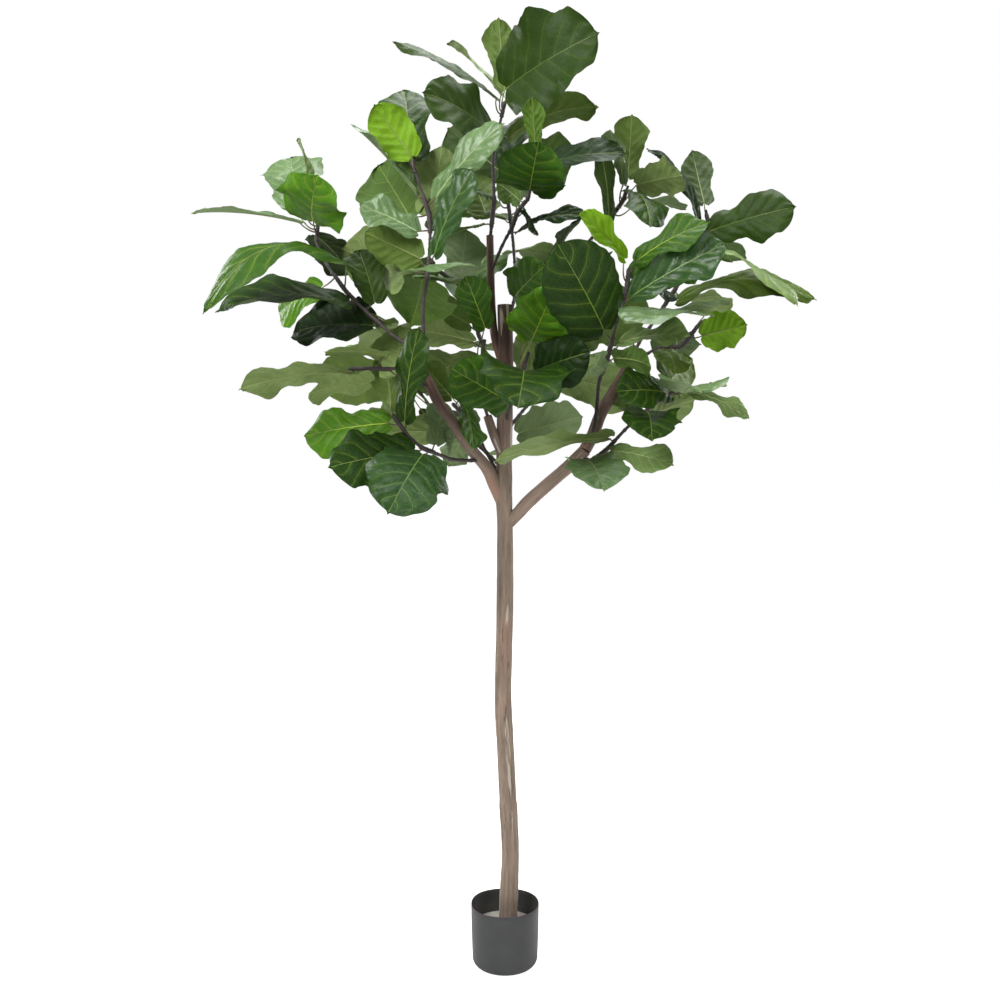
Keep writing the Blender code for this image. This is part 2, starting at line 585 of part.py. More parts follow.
def ring_faces(count):
    faces = [(3, 2, 1, 0), tuple(4 * (count - 1) + k for k in range(4))]
    for ring in range(count - 1):
        a, b = 4 * ring, 4 * ring + 4
        faces += [(a + k, a + (k + 1) % 4, b + (k + 1) % 4, b + k) for k in range(4)]
    return faces


def tree_of(rings):
    return BVHTree.FromPolygons([p for ring in rings for p in ring], ring_faces(len(rings)))


def loft(name, rings):
    mesh = bpy.data.meshes.new(name)
    mesh.from_pydata([p for ring in rings for p in ring], [], ring_faces(len(rings)))
    bm = bmesh.new()
    bm.from_mesh(mesh)
    bmesh.ops.recalc_face_normals(bm, faces=bm.faces)
    bm.to_mesh(mesh)
    bm.free()
    mesh.shade_smooth()
    mesh.set_sharp_from_angle(angle=math.radians(50))
    return mesh


def swings():
    yield Vector((0, 0, 0))
    for step in range(1, SWING_STEPS + 1):
        for way in SWINGS:
            yield Vector(way) * (SWING_STEP * step)


def stem_trees(stems):
    trees = []
    for name, stem in stems.items():
        wider = CLEARANCE if name in WOOD else TWIG_CLEARANCE - stem.radii[0]
        mesh = stem.mesh("room to test", TWIG_RESOLUTION, wider)
        bm = bmesh.new()
        bm.from_mesh(mesh)
        trees.append(BVHTree.FromBMesh(bm))
        bm.free()
        bpy.data.meshes.remove(mesh)
    return trees


def clears(leaf, stem_name, placed, rooms):
    """The leaf's tests against what is there already, or None if its blade or stalk touches any of it."""
    blade, stalk = leaf.tests()
    if any(blade.overlap(room) or stalk.overlap(room) for room in rooms):
        return None
    for other_stem, other_blade, other_stalk in placed:
        if blade.overlap(other_blade) or blade.overlap(other_stalk) or stalk.overlap(other_blade):
            return None
        if other_stem != stem_name and stalk.overlap(other_stalk):
            return None
    return stem_name, blade, stalk


def stalk_distances(stem, rows):
    """How far along the stem each leaf's stalk starts, spaced evenly in the order that they come."""
    reached = [stem.nearest(row[0][0] * CM, row[0][1] * CM) for row in rows]
    half = min((max(reached) - min(reached)) / 2, SLEEVE_LONGEST / 2)
    half = max(half, STALK_SPACING * (len(rows) - 1) / 2)
    last = stem.distances()[-1] - 1.5 * SLEEVE_END
    middle = min(last - half, (min(reached) + max(reached)) / 2)
    middle = max(SLEEVE_FIRST + half, middle)
    order = sorted(range(len(rows)), key=lambda i: reached[i])
    share = 2 * half / (len(rows) - 1)
    return [middle - half + share * order.index(i) for i in range(len(rows))]


def place_leaves(stems):
    """Every cluster's leaves. Each leaf in turn swings aside until it is clear of all before it."""
    rooms = stem_trees(stems)
    placed, clusters = [], {}
    for cluster, (stem_name, rows) in CLUSTERS.items():
        clusters[cluster] = []
        stem = stems[stem_name]
        for row, distance in zip(rows, stalk_distances(stem, rows)):
            for swing in swings():
                leaf = Leaf(row, stem, distance, swing)
                found = clears(leaf, stem_name, placed, rooms)
                if found:
                    break
            placed.append(found or (stem_name, *leaf.tests()))
            clusters[cluster].append(leaf)
    return clusters


def build_cluster(name, stem, leaves, parts, cutters, bore):
    """The cluster's sleeve on its twig, with its leaves joined to it."""
    reached = stalk_distances(stem, CLUSTERS[name][1])
    line = stem.stretch(min(reached) - SLEEVE_END, max(reached) + SLEEVE_END)
    radii = [max(stem.radii) + GAP + SLEEVE_WALL] * len(line)
    sleeve = new_part(name, tube_mesh(name, line, radii, TWIG_RESOLUTION), parts, "leaf")
    for number, leaf in enumerate(leaves, 1):
        blade = new_cutter(f"{name} {number}", leaf.mesh(f"{name} {number}"), cutters)
        combine(sleeve, blade, "UNION", "MANIFOLD")  # The exact solver loses some of these thin stalks.
    combine(sleeve, bore, "DIFFERENCE", "MANIFOLD")


def build():
    empty_scene()
    parts = new_collection("potted_fiddle_leaf_fig")
    cutters = new_collection("cutters")
    stems = {name: Stem(row) for name, row in WOOD.items()}
    stems.update({name: Stem(row) for name, row in TWIGS.items()})
    build_rooms(stems, cutters)
    build_pot(parts)
    build_filler(parts, cutters, cutters.objects["trunk room"])
    build_stems(stems, parts, cutters)
    for name, leaves in place_leaves(stems).items():
        stem_name = CLUSTERS[name][0]
        bore = cutters.objects[f"{stem_name} room"]
        build_cluster(name, stems[stem_name], leaves, parts, cutters, bore)


build()
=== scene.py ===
"""The finish and fine shape of a potted fiddle leaf fig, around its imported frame.

Metres, +Z up. The tree's own tables are in centimetres, with their places as the frame has them.
"""

import math
import random

import bmesh
import bpy
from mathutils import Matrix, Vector
from mathutils.bvhtree import BVHTree


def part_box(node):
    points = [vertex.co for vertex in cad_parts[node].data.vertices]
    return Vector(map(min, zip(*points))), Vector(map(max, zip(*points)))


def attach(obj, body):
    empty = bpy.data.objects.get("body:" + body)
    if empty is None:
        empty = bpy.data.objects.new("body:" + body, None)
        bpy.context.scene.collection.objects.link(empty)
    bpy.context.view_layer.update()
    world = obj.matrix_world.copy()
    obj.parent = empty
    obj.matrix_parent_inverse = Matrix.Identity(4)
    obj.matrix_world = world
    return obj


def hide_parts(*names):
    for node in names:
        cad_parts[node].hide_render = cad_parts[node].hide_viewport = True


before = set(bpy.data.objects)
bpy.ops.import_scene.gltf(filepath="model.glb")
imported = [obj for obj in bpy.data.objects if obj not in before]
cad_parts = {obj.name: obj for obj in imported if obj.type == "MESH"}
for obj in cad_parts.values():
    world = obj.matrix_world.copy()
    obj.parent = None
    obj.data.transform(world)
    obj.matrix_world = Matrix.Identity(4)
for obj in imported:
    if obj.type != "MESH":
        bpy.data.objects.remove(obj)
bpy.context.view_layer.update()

CM = 0.01
GAP = 0.0003

TWIG_RESOLUTION = 1
SLEEVE_WALL = 0.0014
SLEEVE_END = 0.007
SLEEVE_FIRST = 0.03
SLEEVE_LONGEST = 0.09
STALK_SPACING = 0.009
STALK_RADIUS = 0.0019
STALK_SHORTEST = 0.034
STALK_BEND = 0.35
ROOT_DEPTH = 0.8
BASE_REACH = 0.15
BASE_SWING = 0.3
BLADE_FOLD = 0.16
UP = "up"

# From base to tip: how far along a blade, and its half width there as a share of its widest,
# on a blade with a waist and on a round one.
OUTLINE = (
    (0.0, 0.10, 0.10), (0.12, 0.60, 0.74), (0.38, 0.62, 0.98), (0.66, 1.0, 0.96), (0.88, 0.76, 0.66),
    (1.0, 0.10, 0.10),
)
# Blades up to the first of these shares of width to length have a waist, and past the second are round.
WAISTED_SHARE = 0.58
ROUND_SHARE = 0.74

CLEARANCE = 0.003
TWIG_CLEARANCE = 0.0085
STALK_CLEARANCE = 0.003
STALK_SKIP = 0.016
SWING_STEP = 0.022
SWING_STEPS = 9
SWINGS = (
    (0, 1, 0), (0, -1, 0), (0, 0, 1), (0, 0, -1), (1, 0, 0), (-1, 0, 0),
    (0, 0.7, 0.7), (0, -0.7, 0.7), (0, 0.7, -0.7), (0, -0.7, -0.7),
    (0.6, 0.6, 0.5), (-0.6, -0.6, 0.5), (0.6, -0.6, -0.5), (-0.6, 0.6, -0.5),
)

# name: (radius at its start, radius at its end, its centre line), all in cm
WOOD = {
    "trunk": (2.55, 2.1, [
        (0.8, 0, 2.5), (0.8, 0, 10.5), (1.25, 0, 22.8), (1.5, 0, 31.1), (0.8, 0, 45), (0.15, 0, 58.9),
        (-0.55, 0, 72.8), (-0.3, 0, 86.6), (0, 0, 100.5), (0, 0, 119.9), (-0.3, 0, 131),
        (-0.15, 0, 144.9), (0, 0, 156), (0.15, 0, 167.1), (0, 0, 182.4)]),
    "leader": (1.15, 1.0, [
        (-1.0, 0.6, 167), (-2.9, 1.3, 174), (-3.7, 1.1, 182), (-4.0, 0.7, 192), (-4.2, 0.5, 201.8)]),
    "left_limb": (1.8, 1.3, [
        (-0.6, 0, 127.5), (-2.4, -0.6, 131.4), (-5.0, -3, 137.2), (-9.5, -7, 142.7), (-13.4, -11, 148.8),
        (-17.1, -14, 154), (-19.6, -17, 159.1), (-21.2, -20, 162.3)]),
    "right_limb_lower": (1.8, 1.75, [
        (0.4, 0, 121.5), (3.0, -0.8, 124), (6.9, -2, 128.3), (12.4, -4, 133.3), (17.8, -5, 138),
        (21.8, -6, 142.1)]),
    "right_limb_upper": (1.7, 1.6, [
        (21.7, -5.9, 142.1), (24, -5, 146.3), (26.2, -3, 151.8), (29.6, 0, 157.4), (32.7, 2, 162.2),
        (36.9, 4, 170.3)]),
    "stub_branch": (1.25, 1.15, [(-0.6, -0.3, 140.5), (-2.6, -1.5, 145), (-4.8, -3, 151.5)]),
}
TWIGS = {
    "left_main_twig": (0.5, 0.36, [
        (-20.8, -19.4, 161.2), (-20.9, -20.2, 168), (-21.2, -20, 179.6), (-20.1, -20, 186),
        (-19.6, -19.4, 192.5), (-19.4, -19, 198.4), (-19.7, -18.6, 203.1), (-21.9, -18, 210),
        (-24.5, -17, 217.8)]),
    "far_left_twig": (0.45, 0.36, [
        (-20.9, -20.1, 167.8), (-27.4, -18, 170.8), (-35.6, -14, 177.7), (-42.6, -11, 184.7),
        (-48.4, -8, 192.7), (-51, -7, 198.7), (-50.8, -6, 204)]),
    "low_left_twig": (0.5, 0.4, [
        (-6.8, -4.8, 139.4), (-9.4, -7.4, 139.3), (-14, -9.6, 139.6), (-17.3, -12, 140.8),
        (-21.8, -15, 142.7), (-26, -18, 146.8), (-29.3, -19, 151.4)]),
    "crown_twig": (0.5, 0.36, [
        (-4.15, 0.55, 200.6), (-3.6, 0.8, 206), (-3.05, 1, 211.5), (-3.3, 2, 222.6), (-1.9, 2, 230.9),
        (0, 1, 239.3)]),
    "crown_right_twig": (0.45, 0.36, [
        (-4.0, 0.5, 191), (-2.1, -2, 195.4), (0, -4, 199.6), (1.9, -5, 202.8), (3.5, -6, 206.8),
        (6.2, -7, 210.4), (7.8, -8, 219)]),
    "inner_left_twig": (0.45, 0.38, [
        (-3.7, 1.1, 181.8), (-7, 2.2, 184.6), (-10.9, 4, 187.7), (-14.9, 5, 190), (-17.5, 6, 192),
        (-21.2, 7, 195.5)]),
    "upper_right_twig": (0.48, 0.36, [
        (0.6, 0.2, 177), (4.7, 1, 181.8), (9.8, 3, 187.5), (16.9, 5, 195.2), (24.1, 7, 201.8),
        (29.9, 8, 208.3), (33.5, 9, 213.1), (35.2, 9, 217.7)]),
    "right_main_twig": (0.5, 0.36, [
        (23.6, -5.2, 145.6), (24.2, -8.4, 149), (24.8, -9.6, 155.6), (25.2, -10.4, 160.4),
        (26.9, -12, 165.6), (28.1, -13, 170), (29.3, -14, 175.2), (30.8, -15, 180.3), (32, -16, 185.4),
        (32.5, -16, 189.9)]),
    "far_right_twig": (0.5, 0.36, [
        (36.3, 3.8, 169.2), (38.3, 4.4, 173.2), (42.3, 5, 178.8), (48.1, 6, 187.5), (52.5, 7, 193.3),
        (55.6, 8, 200.6), (57.9, 8, 205.5), (57.5, 9, 210.8)]),
    "low_right_twig": (0.48, 0.38, [
        (19.9, -5.5, 140.1), (23.4, -8.2, 139.4), (27.2, -9.6, 142.2), (31.9, -12, 147.5),
        (35.8, -13, 151.1), (41.1, -13, 155.4), (46.4, -13, 158.6)]),
    "outer_right_twig": (0.45, 0.38, [
        (34.9, 3.1, 166.4), (38.4, 1.8, 168.2), (43, 0, 170.6), (49, -2, 171), (53.9, -4, 177.7)]),
    "front_twig": (0.48, 0.38, [
        (0.2, -0.4, 149.5), (1.0, -4, 153), (2.1, -6.4, 157.1), (4.3, -9, 162.3), (6.4, -11, 168.3)]),
    "inner_low_twig": (0.45, 0.38, [
        (-0.6, 0.4, 134), (-3.6, 2, 138.6), (-5.8, 2.6, 142.6), (-8.3, 3, 147.8), (-11.7, 3, 152),
        (-14.8, 3, 155.3)]),
    "stub_twig": (0.45, 0.38, [
        (-4.5, -2.8, 150.5), (-5.8, -4.6, 155), (-6.8, -6.4, 160), (-6.5, -8, 166), (-5.5, -8.4, 172)]),
    "outer_left_twig": (0.45, 0.38, [
        (-19.4, -16.8, 158.8), (-22.6, -21, 159.4), (-26.8, -23.4, 162.6), (-33.1, -24.4, 162.8),
        (-39.8, -25, 162.7)]),
    "back_left_twig": (0.48, 0.38, [
        (-0.1, 0.4, 156), (-2, 6, 161), (-4, 12, 167), (-8, 22, 177), (-10, 30, 188)]),
    "back_right_twig": (0.48, 0.38, [
        (0.2, 0.4, 147), (4, 7, 152), (8, 14, 157), (14, 25, 166), (18, 34, 178)]),
    "back_low_twig": (0.48, 0.38, [
        (-0.5, 0.5, 137), (-6, 7, 142), (-12, 13, 147), (-22, 22, 155), (-30, 30, 166)]),
    "back_crown_twig": (0.48, 0.38, [
        (0.1, 0.6, 174), (2, 5, 182), (3, 9, 190), (2, 14, 206), (0, 18, 222)]),
}

# name: (the twig that the cluster's sleeve is on, its leaves). A leaf is its base (x, z) in cm, its tip
# (x, y, z) in cm, its width as a share of its length, the turn of its face in degrees and its bow.
# A face of 0 looks to -Y, 90 looks up, or outwards on an upright leaf, and 180 looks to +Y.
CLUSTERS = {
    "leaves_far_left_top": ("far_left_twig", [
        ((-56, 204), (-86, -4, 207), 0.52, 80, 0.04),
        ((-57.5, 209), (-63.5, 20, 229), 0.60, 14, 0.05),
        ((-55, 211), (-59, 6, 230), 0.40, 88, 0.08),
        ((-51.5, 203.5), (-47.5, -25, 212), 1.02, 0, 0.10),
        ((-52, 201), (-45, 15, 193), 0.60, 150, 0.08)]),
    "leaves_far_left_middle": ("far_left_twig", [
        ((-42, 191), (-74.5, -34, 176), 0.42, 52, 0.26),
        ((-40.5, 181), (-72, -24, 177.5), 0.60, 58, 0.10),
        ((-50, 186), (-65.5, 12, 181.5), 0.50, 10, 0.06)]),
    "leaves_far_left_low": ("far_left_twig", [
        ((-33.5, 175.6), (-56, -4, 174.5), 0.72, 44, 0.06),
        ((-40, 175), (-52, 26, 171), 0.50, 165, 0.05),
        ((-32, 176.5), (-41.5, 6, 178.5), 0.50, 100, 0.05),
        ((-34.7, 181.5), (-40, -4, 197), 0.62, 20, 0.05)]),
    "leaves_left_tier": ("outer_left_twig", [
        ((-40.5, 162), (-66, -27, 157.5), 0.46, 124, 0.06),
        ((-34, 159), (-47, -40, 155.5), 0.62, 120, 0.05),
        ((-30, 166), (-44, -36, 166), 0.50, 112, 0.04),
        ((-28, 164), (-29, -4, 183), 0.58, 180, 0.06)]),
    "leaves_left_centre": ("left_main_twig", [
        ((-20, 190.5), (-34.5, -17, 198), 0.68, 164, 0.05),
        ((-27, 188.5), (-49, -4, 200.5), 0.62, 165, 0.06),
        ((-19.2, 190.5), (-9, -28, 210.5), 0.56, 42, 0.05),
        ((-22, 187), (-28, 16, 178), 0.64, 172, 0.06),
        ((-26.5, 187.5), (-7.5, -33, 187.5), 0.34, 76, 0.03)]),
    "leaves_left_upper": ("left_main_twig", [
        ((-20.5, 198), (-35.5, -20, 204.5), 0.60, 24, 0.05),
        ((-25, 203.5), (-36, 6, 223), 0.70, 175, 0.05),
        ((-20, 204), (-17, -6, 225), 0.54, 178, 0.05),
        ((-18, 207), (-0.8, -30, 223.5), 0.44, 30, 0.06),
        ((-22.6, 208.5), (-39.5, -14, 227), 0.42, 82, 0.03)]),
    "leaves_left_crown": ("left_main_twig", [
        ((-24.5, 217.5), (-35.5, -19, 229.5), 0.70, 176, 0.06),
        ((-24.5, 219.5), (-29, 8, 245), 0.46, 10, 0.05),
        ((-23.6, 219), (-19, 8, 233), 0.42, 170, 0.05)]),
    "leaves_low_left_end": ("low_left_twig", [
        ((-29, 149.4), (-52, -12, 146), 0.58, 20, 0.05),
        ((-30, 152), (-34, -5, 170), 0.50, 160, 0.05),
        ((-26, 149), (-21.5, -30, 172), 0.42, 34, 0.04)]),
    "leaves_low_left_middle": ("low_left_twig", [
        ((-22.6, 142), (-43, -29, 138), 0.66, 14, 0.06),
        ((-21.4, 141), (-28.5, -38, 126), 0.76, 4, 0.08),
        ((-18.6, 143), (-17, -1, 155), 0.58, 172, 0.05)]),
    "leaves_inner_low": ("inner_low_twig", [
        ((-15, 157), (-24, 12, 167), 0.60, 170, 0.05),
        ((-13.6, 157), (-9, 12, 171), 0.62, 174, 0.05),
        ((-15, 157), (-17, -17, 142), 0.36, 50, 0.05),
        ((-12, 150), (-17, -9, 143), 0.52, 120, 0.06)]),
    "leaves_stub": ("stub_twig", [
        ((-5.4, 175), (-10.5, -16, 188), 0.62, 8, 0.05),
        ((-7, 171), (-22, -14, 173.5), 0.50, 150, 0.05)]),
    "leaves_inner_left": ("inner_left_twig", [
        ((-7, 187), (-27, -15, 187.5), 0.40, 84, 0.03),
        ((-12, 190), (-11.5, 20, 207), 0.64, 172, 0.05),
        ((-20, 194), (-36, 20, 192), 0.60, 150, 0.06)]),
    "leaves_front": ("front_twig", [
        ((1, 155), (-14, -24, 163), 0.64, 0, 0.07),
        ((5, 163), (3, -44, 151.5), 0.70, 0, 0.08),
        ((8, 163), (20.5, -26, 166), 0.74, 8, 0.06),
        ((7.2, 171), (12.6, -29, 181.5), 0.76, 0, 0.07),
        ((5.6, 171.5), (2, -19, 177), 0.46, 0, 0.04)]),
    "leaves_crown_low": ("crown_twig", [
        ((-5, 207), (-9.6, 13, 221), 0.66, 176, 0.05),
        ((-5.4, 212), (-9, -15, 210), 0.52, 36, 0.06),
        ((-5.4, 205), (-19, -8, 198), 0.36, 84, 0.04)]),
    "leaves_crown_middle": ("crown_twig", [
        ((-1.6, 228), (-20.6, -17, 235), 0.72, 34, 0.08),
        ((1.0, 229), (25.5, -4, 236), 0.48, 118, 0.12)]),
    "leaves_crown_top": ("crown_twig", [
        ((-2.6, 240), (-30.5, -8, 252.5), 0.42, 66, 0.05),
        ((-1.2, 242), (-17, 15, 261), 0.34, 74, 0.04),
        ((-0.7, 243), (-4, 8, 265.5), 0.42, 172, 0.03),
        ((0.6, 242), (24.6, -19, 250.5), 0.80, 6, 0.06)]),
    "leaves_crown_right_low": ("crown_right_twig", [
        ((3, 201), (20.5, -17, 203), 0.50, 60, 0.10),
        ((4.6, 209.6), (-2, 7, 218), 0.50, 150, 0.06),
        ((5.2, 206.6), (6, -24, 198), 0.40, 60, 0.04)]),
    "leaves_crown_right_end": ("crown_right_twig", [
        ((8.2, 221.5), (7, -14, 235.5), 0.40, 168, 0.04),
        ((6.6, 211.5), (8.6, -25, 220.5), 1.0, 0, 0.08),
        ((10.5, 219.5), (32, -12, 221), 0.60, 40, 0.06)]),
    "leaves_upper_right_low": ("upper_right_twig", [
        ((2.6, 184.6), (10.5, -17, 190.5), 0.70, 0, 0.06),
        ((13.6, 195), (20.5, -12, 204), 0.50, 110, 0.06),
        ((20, 201), (28, 26, 196), 0.60, UP, 0.08)]),
    "leaves_upper_right_end": ("upper_right_twig", [
        ((35.2, 220.5), (37, 14, 240), 0.52, 175, 0.04),
        ((33.5, 216.4), (27.5, -12, 224), 0.40, 104, 0.04),
        ((37.4, 217.4), (48, -7, 216.5), 0.66, 148, 0.05),
        ((30, 205.4), (26, 2, 228), 0.36, 126, 0.05),
        ((35.8, 215), (38.5, -14, 201), 0.50, 30, 0.10),
        ((37.4, 213), (53.5, 18, 213), 0.55, 95, 0.05)]),
    "leaves_right_middle": ("right_main_twig", [
        ((28.6, 167), (36, -30, 163), 0.55, 126, 0.06),
        ((30.6, 170.6), (47.6, -22, 171.5), 0.58, 52, 0.06),
        ((25.8, 173), (12, -36, 191.3), 0.70, 2, 0.06),
        ((24, 163), (14.5, -27, 163.5), 0.50, 150, 0.05)]),
    "leaves_right_upper": ("right_main_twig", [
        ((31, 192), (18.5, -29, 201.5), 0.42, 30, 0.05),
        ((34.6, 191.6), (52, -25, 200), 0.54, 34, 0.07),
        ((34, 187), (54, -9, 196), 0.66, 10, 0.05),
        ((32.4, 182), (54.5, -28, 193.5), 0.50, 22, 0.05)]),
    "leaves_far_right_low": ("far_right_twig", [
        ((49, 184.6), (84, -8, 183), 0.44, 56, 0.16),
        ((45.6, 186), (40, -13, 184), 0.50, 20, 0.06),
        ((50, 186), (66, 26, 183), 0.60, UP, 0.08),
        ((45, 180), (60, -7, 182), 0.42, 100, 0.04)]),
    "leaves_far_right_top": ("far_right_twig", [
        ((56, 207), (42, 12, 228), 0.44, 58, 0.10),
        ((57.4, 213.4), (56.5, 26, 233), 0.40, 165, 0.04),
        ((56, 203.5), (77, -7, 207.5), 0.60, 10, 0.06),
        ((56, 198), (74, -20, 174), 0.34, 66, 0.06),
        ((58, 202), (70, 32, 200), 0.60, UP, 0.08)]),
    "leaves_outer_right": ("outer_right_twig", [
        ((50, 173), (62.5, -4, 175.5), 0.82, 172, 0.05),
        ((52, 179.6), (24, -27, 178), 0.48, 70, 0.05),
        ((44, 169), (44, -20, 162), 0.52, 20, 0.06),
        ((48, 174), (52, 26, 168), 0.60, UP, 0.08)]),
    "leaves_low_right_start": ("low_right_twig", [
        ((28.5, 146), (-1.5, -27, 139.5), 0.42, 112, 0.04),
        ((27, 142.4), (42, -23, 138.5), 0.52, 38, 0.05),
        ((22, 139.5), (24.5, -33, 132), 0.68, 14, 0.07)]),
    "leaves_low_right_middle": ("low_right_twig", [
        ((37, 153), (36, -34, 144.5), 0.74, 0, 0.08),
        ((34.6, 153), (32.5, 4, 160), 0.50, 176, 0.05),
        ((38.4, 151), (54, 6, 156.5), 0.56, 158, 0.05)]),
    "leaves_low_right_end": ("low_right_twig", [
        ((44, 158.4), (28.5, -30, 161), 0.54, 26, 0.06),
        ((47, 157), (47, -40, 156), 0.72, 0, 0.07),
        ((48, 158), (62.5, -20, 150.5), 0.46, 50, 0.08),
        ((44.4, 161.6), (53, 6, 170), 0.72, 178, 0.05)]),
    "leaves_back_left": ("back_left_twig", [
        ((-10, 180), (-34, 28, 190), 0.62, 150, 0.08),
        ((-11, 187), (-24, 48, 198), 0.66, UP, 0.10),
        ((-9.6, 190), (-5, 50, 206), 0.62, UP, 0.10),
        ((-7, 173), (4, 44, 170), 0.62, UP, 0.10),
        ((-8, 168), (-30, 20, 164), 0.58, 160, 0.08)]),
    "leaves_back_right": ("back_right_twig", [
        ((4, 147), (23, 16, 152), 0.70, 166, 0.05),
        ((20, 176), (46, 38, 186), 0.62, 150, 0.08),
        ((18, 172), (34, 54, 170), 0.66, UP, 0.10),
        ((18, 181), (17, 52, 200), 0.62, UP, 0.10),
        ((12, 160), (0, 46, 158), 0.62, UP, 0.10),
        ((16, 164), (42, 30, 158), 0.60, 160, 0.08),
        ((10, 160), (11, 27, 178), 0.64, 168, 0.06)]),
    "leaves_back_low": ("back_low_twig", [
        ((-4, 141), (16, 10, 144), 0.42, 108, 0.05),
        ((-31, 165), (-58, 34, 172), 0.62, 150, 0.08),
        ((-29, 160), (-42, 56, 158), 0.66, UP, 0.10),
        ((-33, 168), (-54, 46, 180), 0.60, UP, 0.08),
        ((-22, 152), (-14, 50, 150), 0.62, UP, 0.10),
        ((-16, 148), (-42, 16, 146), 0.56, 160, 0.08),
        ((-11, 149), (-17, 25, 137), 0.60, 172, 0.06)]),
    "leaves_back_crown": ("back_crown_twig", [
        ((-1, 224), (-18, 34, 242), 0.60, 160, 0.06),
        ((2, 220), (22, 32, 235), 0.56, 150, 0.08),
        ((0, 210), (-24, 34, 210), 0.62, UP, 0.10),
        ((1, 224.5), (10, 38, 240), 0.62, UP, 0.08),
        ((3, 200), (20, 42, 196), 0.66, UP, 0.10)]),
}

# Fine shape
# From base to tip: how far along a blade, and its half width as a share of its widest, waisted and round.
BLADE_OUTLINE = (
    (0.0, 0.30, 0.34), (0.035, 0.47, 0.55), (0.10, 0.60, 0.75), (0.18, 0.63, 0.87), (0.30, 0.60, 0.96),
    (0.40, 0.65, 0.99), (0.52, 0.84, 1.0), (0.66, 1.0, 0.95), (0.78, 0.95, 0.83), (0.88, 0.74, 0.63),
    (0.95, 0.47, 0.40), (0.985, 0.24, 0.20), (1.0, 0.0, 0.0),
)
BLADE_REACH = 0.97
VEIN_COUNT = 6.0
VEIN_SWEEP = 0.28
VEIN_SWEEP_POWER = 1.1
VEIN_STAGGER = 0.2
COLUMN_POWER = 1.25
ROW_EASE = 0.45
PUFF_POWER = 0.7
SAG_POWER = 1.4
LOBE_POWER = 11
POINT_POWER = 18
# Waves along a margin: their radians from base to tip, the most that a leaf's seed adds, the seed's
# shift, and the shift between the two sides.
LOBE_WAVES = (15, 9, 50, 2.1)
NOTCH_WAVES = (46, 21, 90, 1.3)
RUFFLE_WAVES = (9, 5, 40, 1.7)
NOTCH_DEPTH = 0.018
# What is drawn for each leaf, and between which values.
DRAWS = {
    "seed": (0, 1), "ruffle": (0.09, 0.22), "scallop": (0.03, 0.11), "twist": (-0.16, 0.16),
    "cup": (-0.30, 0.10),
}
# Measures that a mesh no longer needs when its shape is made.
BLADE_MEASURES = ("across", "along", "base", "heading", "side", "face", "length", "width", "bow", "roundness",
                  *DRAWS)
PATH_MEASURES = ("ring", "run", "thickness")

# Round stems, by the inputs of their tree.
STALK_STRETCH = 0.3
WOOD_SIZES = {
    "Sides": 40, "Step": 0.005, "Knot height": 0.03, "Knot spacing": 0.31, "Waviness": 0.22,
    "Relief": 0.0022, "Relief scale": 85.0, "Grain stretch": 0.10,
}
TWIG_SIZES = {
    "Sides": 12, "Step": 0.003, "Knot height": 0.22, "Knot spacing": 0.027, "Waviness": 0.35,
    "Relief": 0.0018, "Relief scale": 260.0, "Grain stretch": 0.5,
    "Nodule radius": 0.0013, "Nodules per square metre": 3200.0,
}
SLEEVE_SIZES = {
    "Sides": 12, "Step": 0.003, "Knot height": 0.12, "Knot spacing": 0.012,
    "Relief": 0.002, "Relief scale": 240.0, "Grain stretch": 0.6,
    "Nodule radius": 0.0014, "Nodules per square metre": 3600.0,
}
STALK_SIZES = {
    "Sides": 8, "Step": 0.006, "Knot height": 0.0,
    "Relief": 0.0003, "Relief scale": 300.0, "Grain stretch": STALK_STRETCH,
}
SLEEVE_TAPER = 0.86
STALK_STEPS = 6
MIDRIB_STEPS = 11
BLADE_THICKNESS = 0.0009
# Angles in degrees past which an edge stays sharp.
BLADE_EDGE = 100
SOFT_EDGE = 60
CRISP_EDGE = 50

POT_FOOT_SHARE = 0.089 / 0.097
POT_WALL = 0.0022
POT_CORNER = 0.019
POT_SQUARENESS = 0.03
POT_STEPS = 96
POT_CORNER_STEPS = 8
POT_SIDE_STEPS = 12
FILLER_STEPS = 14
FILLER_SINK = 0.0012
FILLER_SWELL = 0.0009

# Finishes. Colours are as a screen shows them, and pairs of them go from dark to light.
# Up in the crown the bark turns darker between these heights in metres: partly its own colour, partly painted
# shade of the canopy.
WOOD_DARKENS_FROM = 1.30
WOOD_DARK_AT = 1.62
STALK_WOODY = ((52, 44, 34), (96, 88, 58))
STALK_GREEN = ((104, 122, 58), (150, 162, 92))
TWIG_PLASTIC = ((28, 22, 24), (74, 62, 60))
TWIG_DUST = (128, 116, 104)
# Bark low on the trunk and up in the crown; the darker crown pair is partly painted shade.
WOOD_LOW = ((104, 88, 76), (156, 138, 122))
WOOD_HIGH_PARTLY_SHADED = ((52, 36, 30), (104, 80, 68))
WOOD_WARM = (152, 118, 104)
WOOD_PINK = (168, 122, 102)
WOOD_SCUFF = (204, 194, 180)
# Painted shade in the bark's cracks.
WOOD_CRACK_SHADE = (56, 44, 38)
POT_PLASTIC = ((50, 51, 51), (62, 64, 63))
POT_RIM = (92, 48, 84)
POT_SCUFF = (120, 121, 118)
FILLER_CEMENT = ((176, 172, 160), (222, 220, 210))
FILLER_PINK = (214, 186, 184)
# Painted shade in the filler's pores.
FILLER_PORE_SHADE = (120, 116, 106)
# How much an upper side mirrors, plain or glossy, and the gloss of a tone past which it is glossy.
PLAIN_SHINE = 0.16
GLOSSY_SHINE = 0.37
GLOSSY_FROM = 0.7
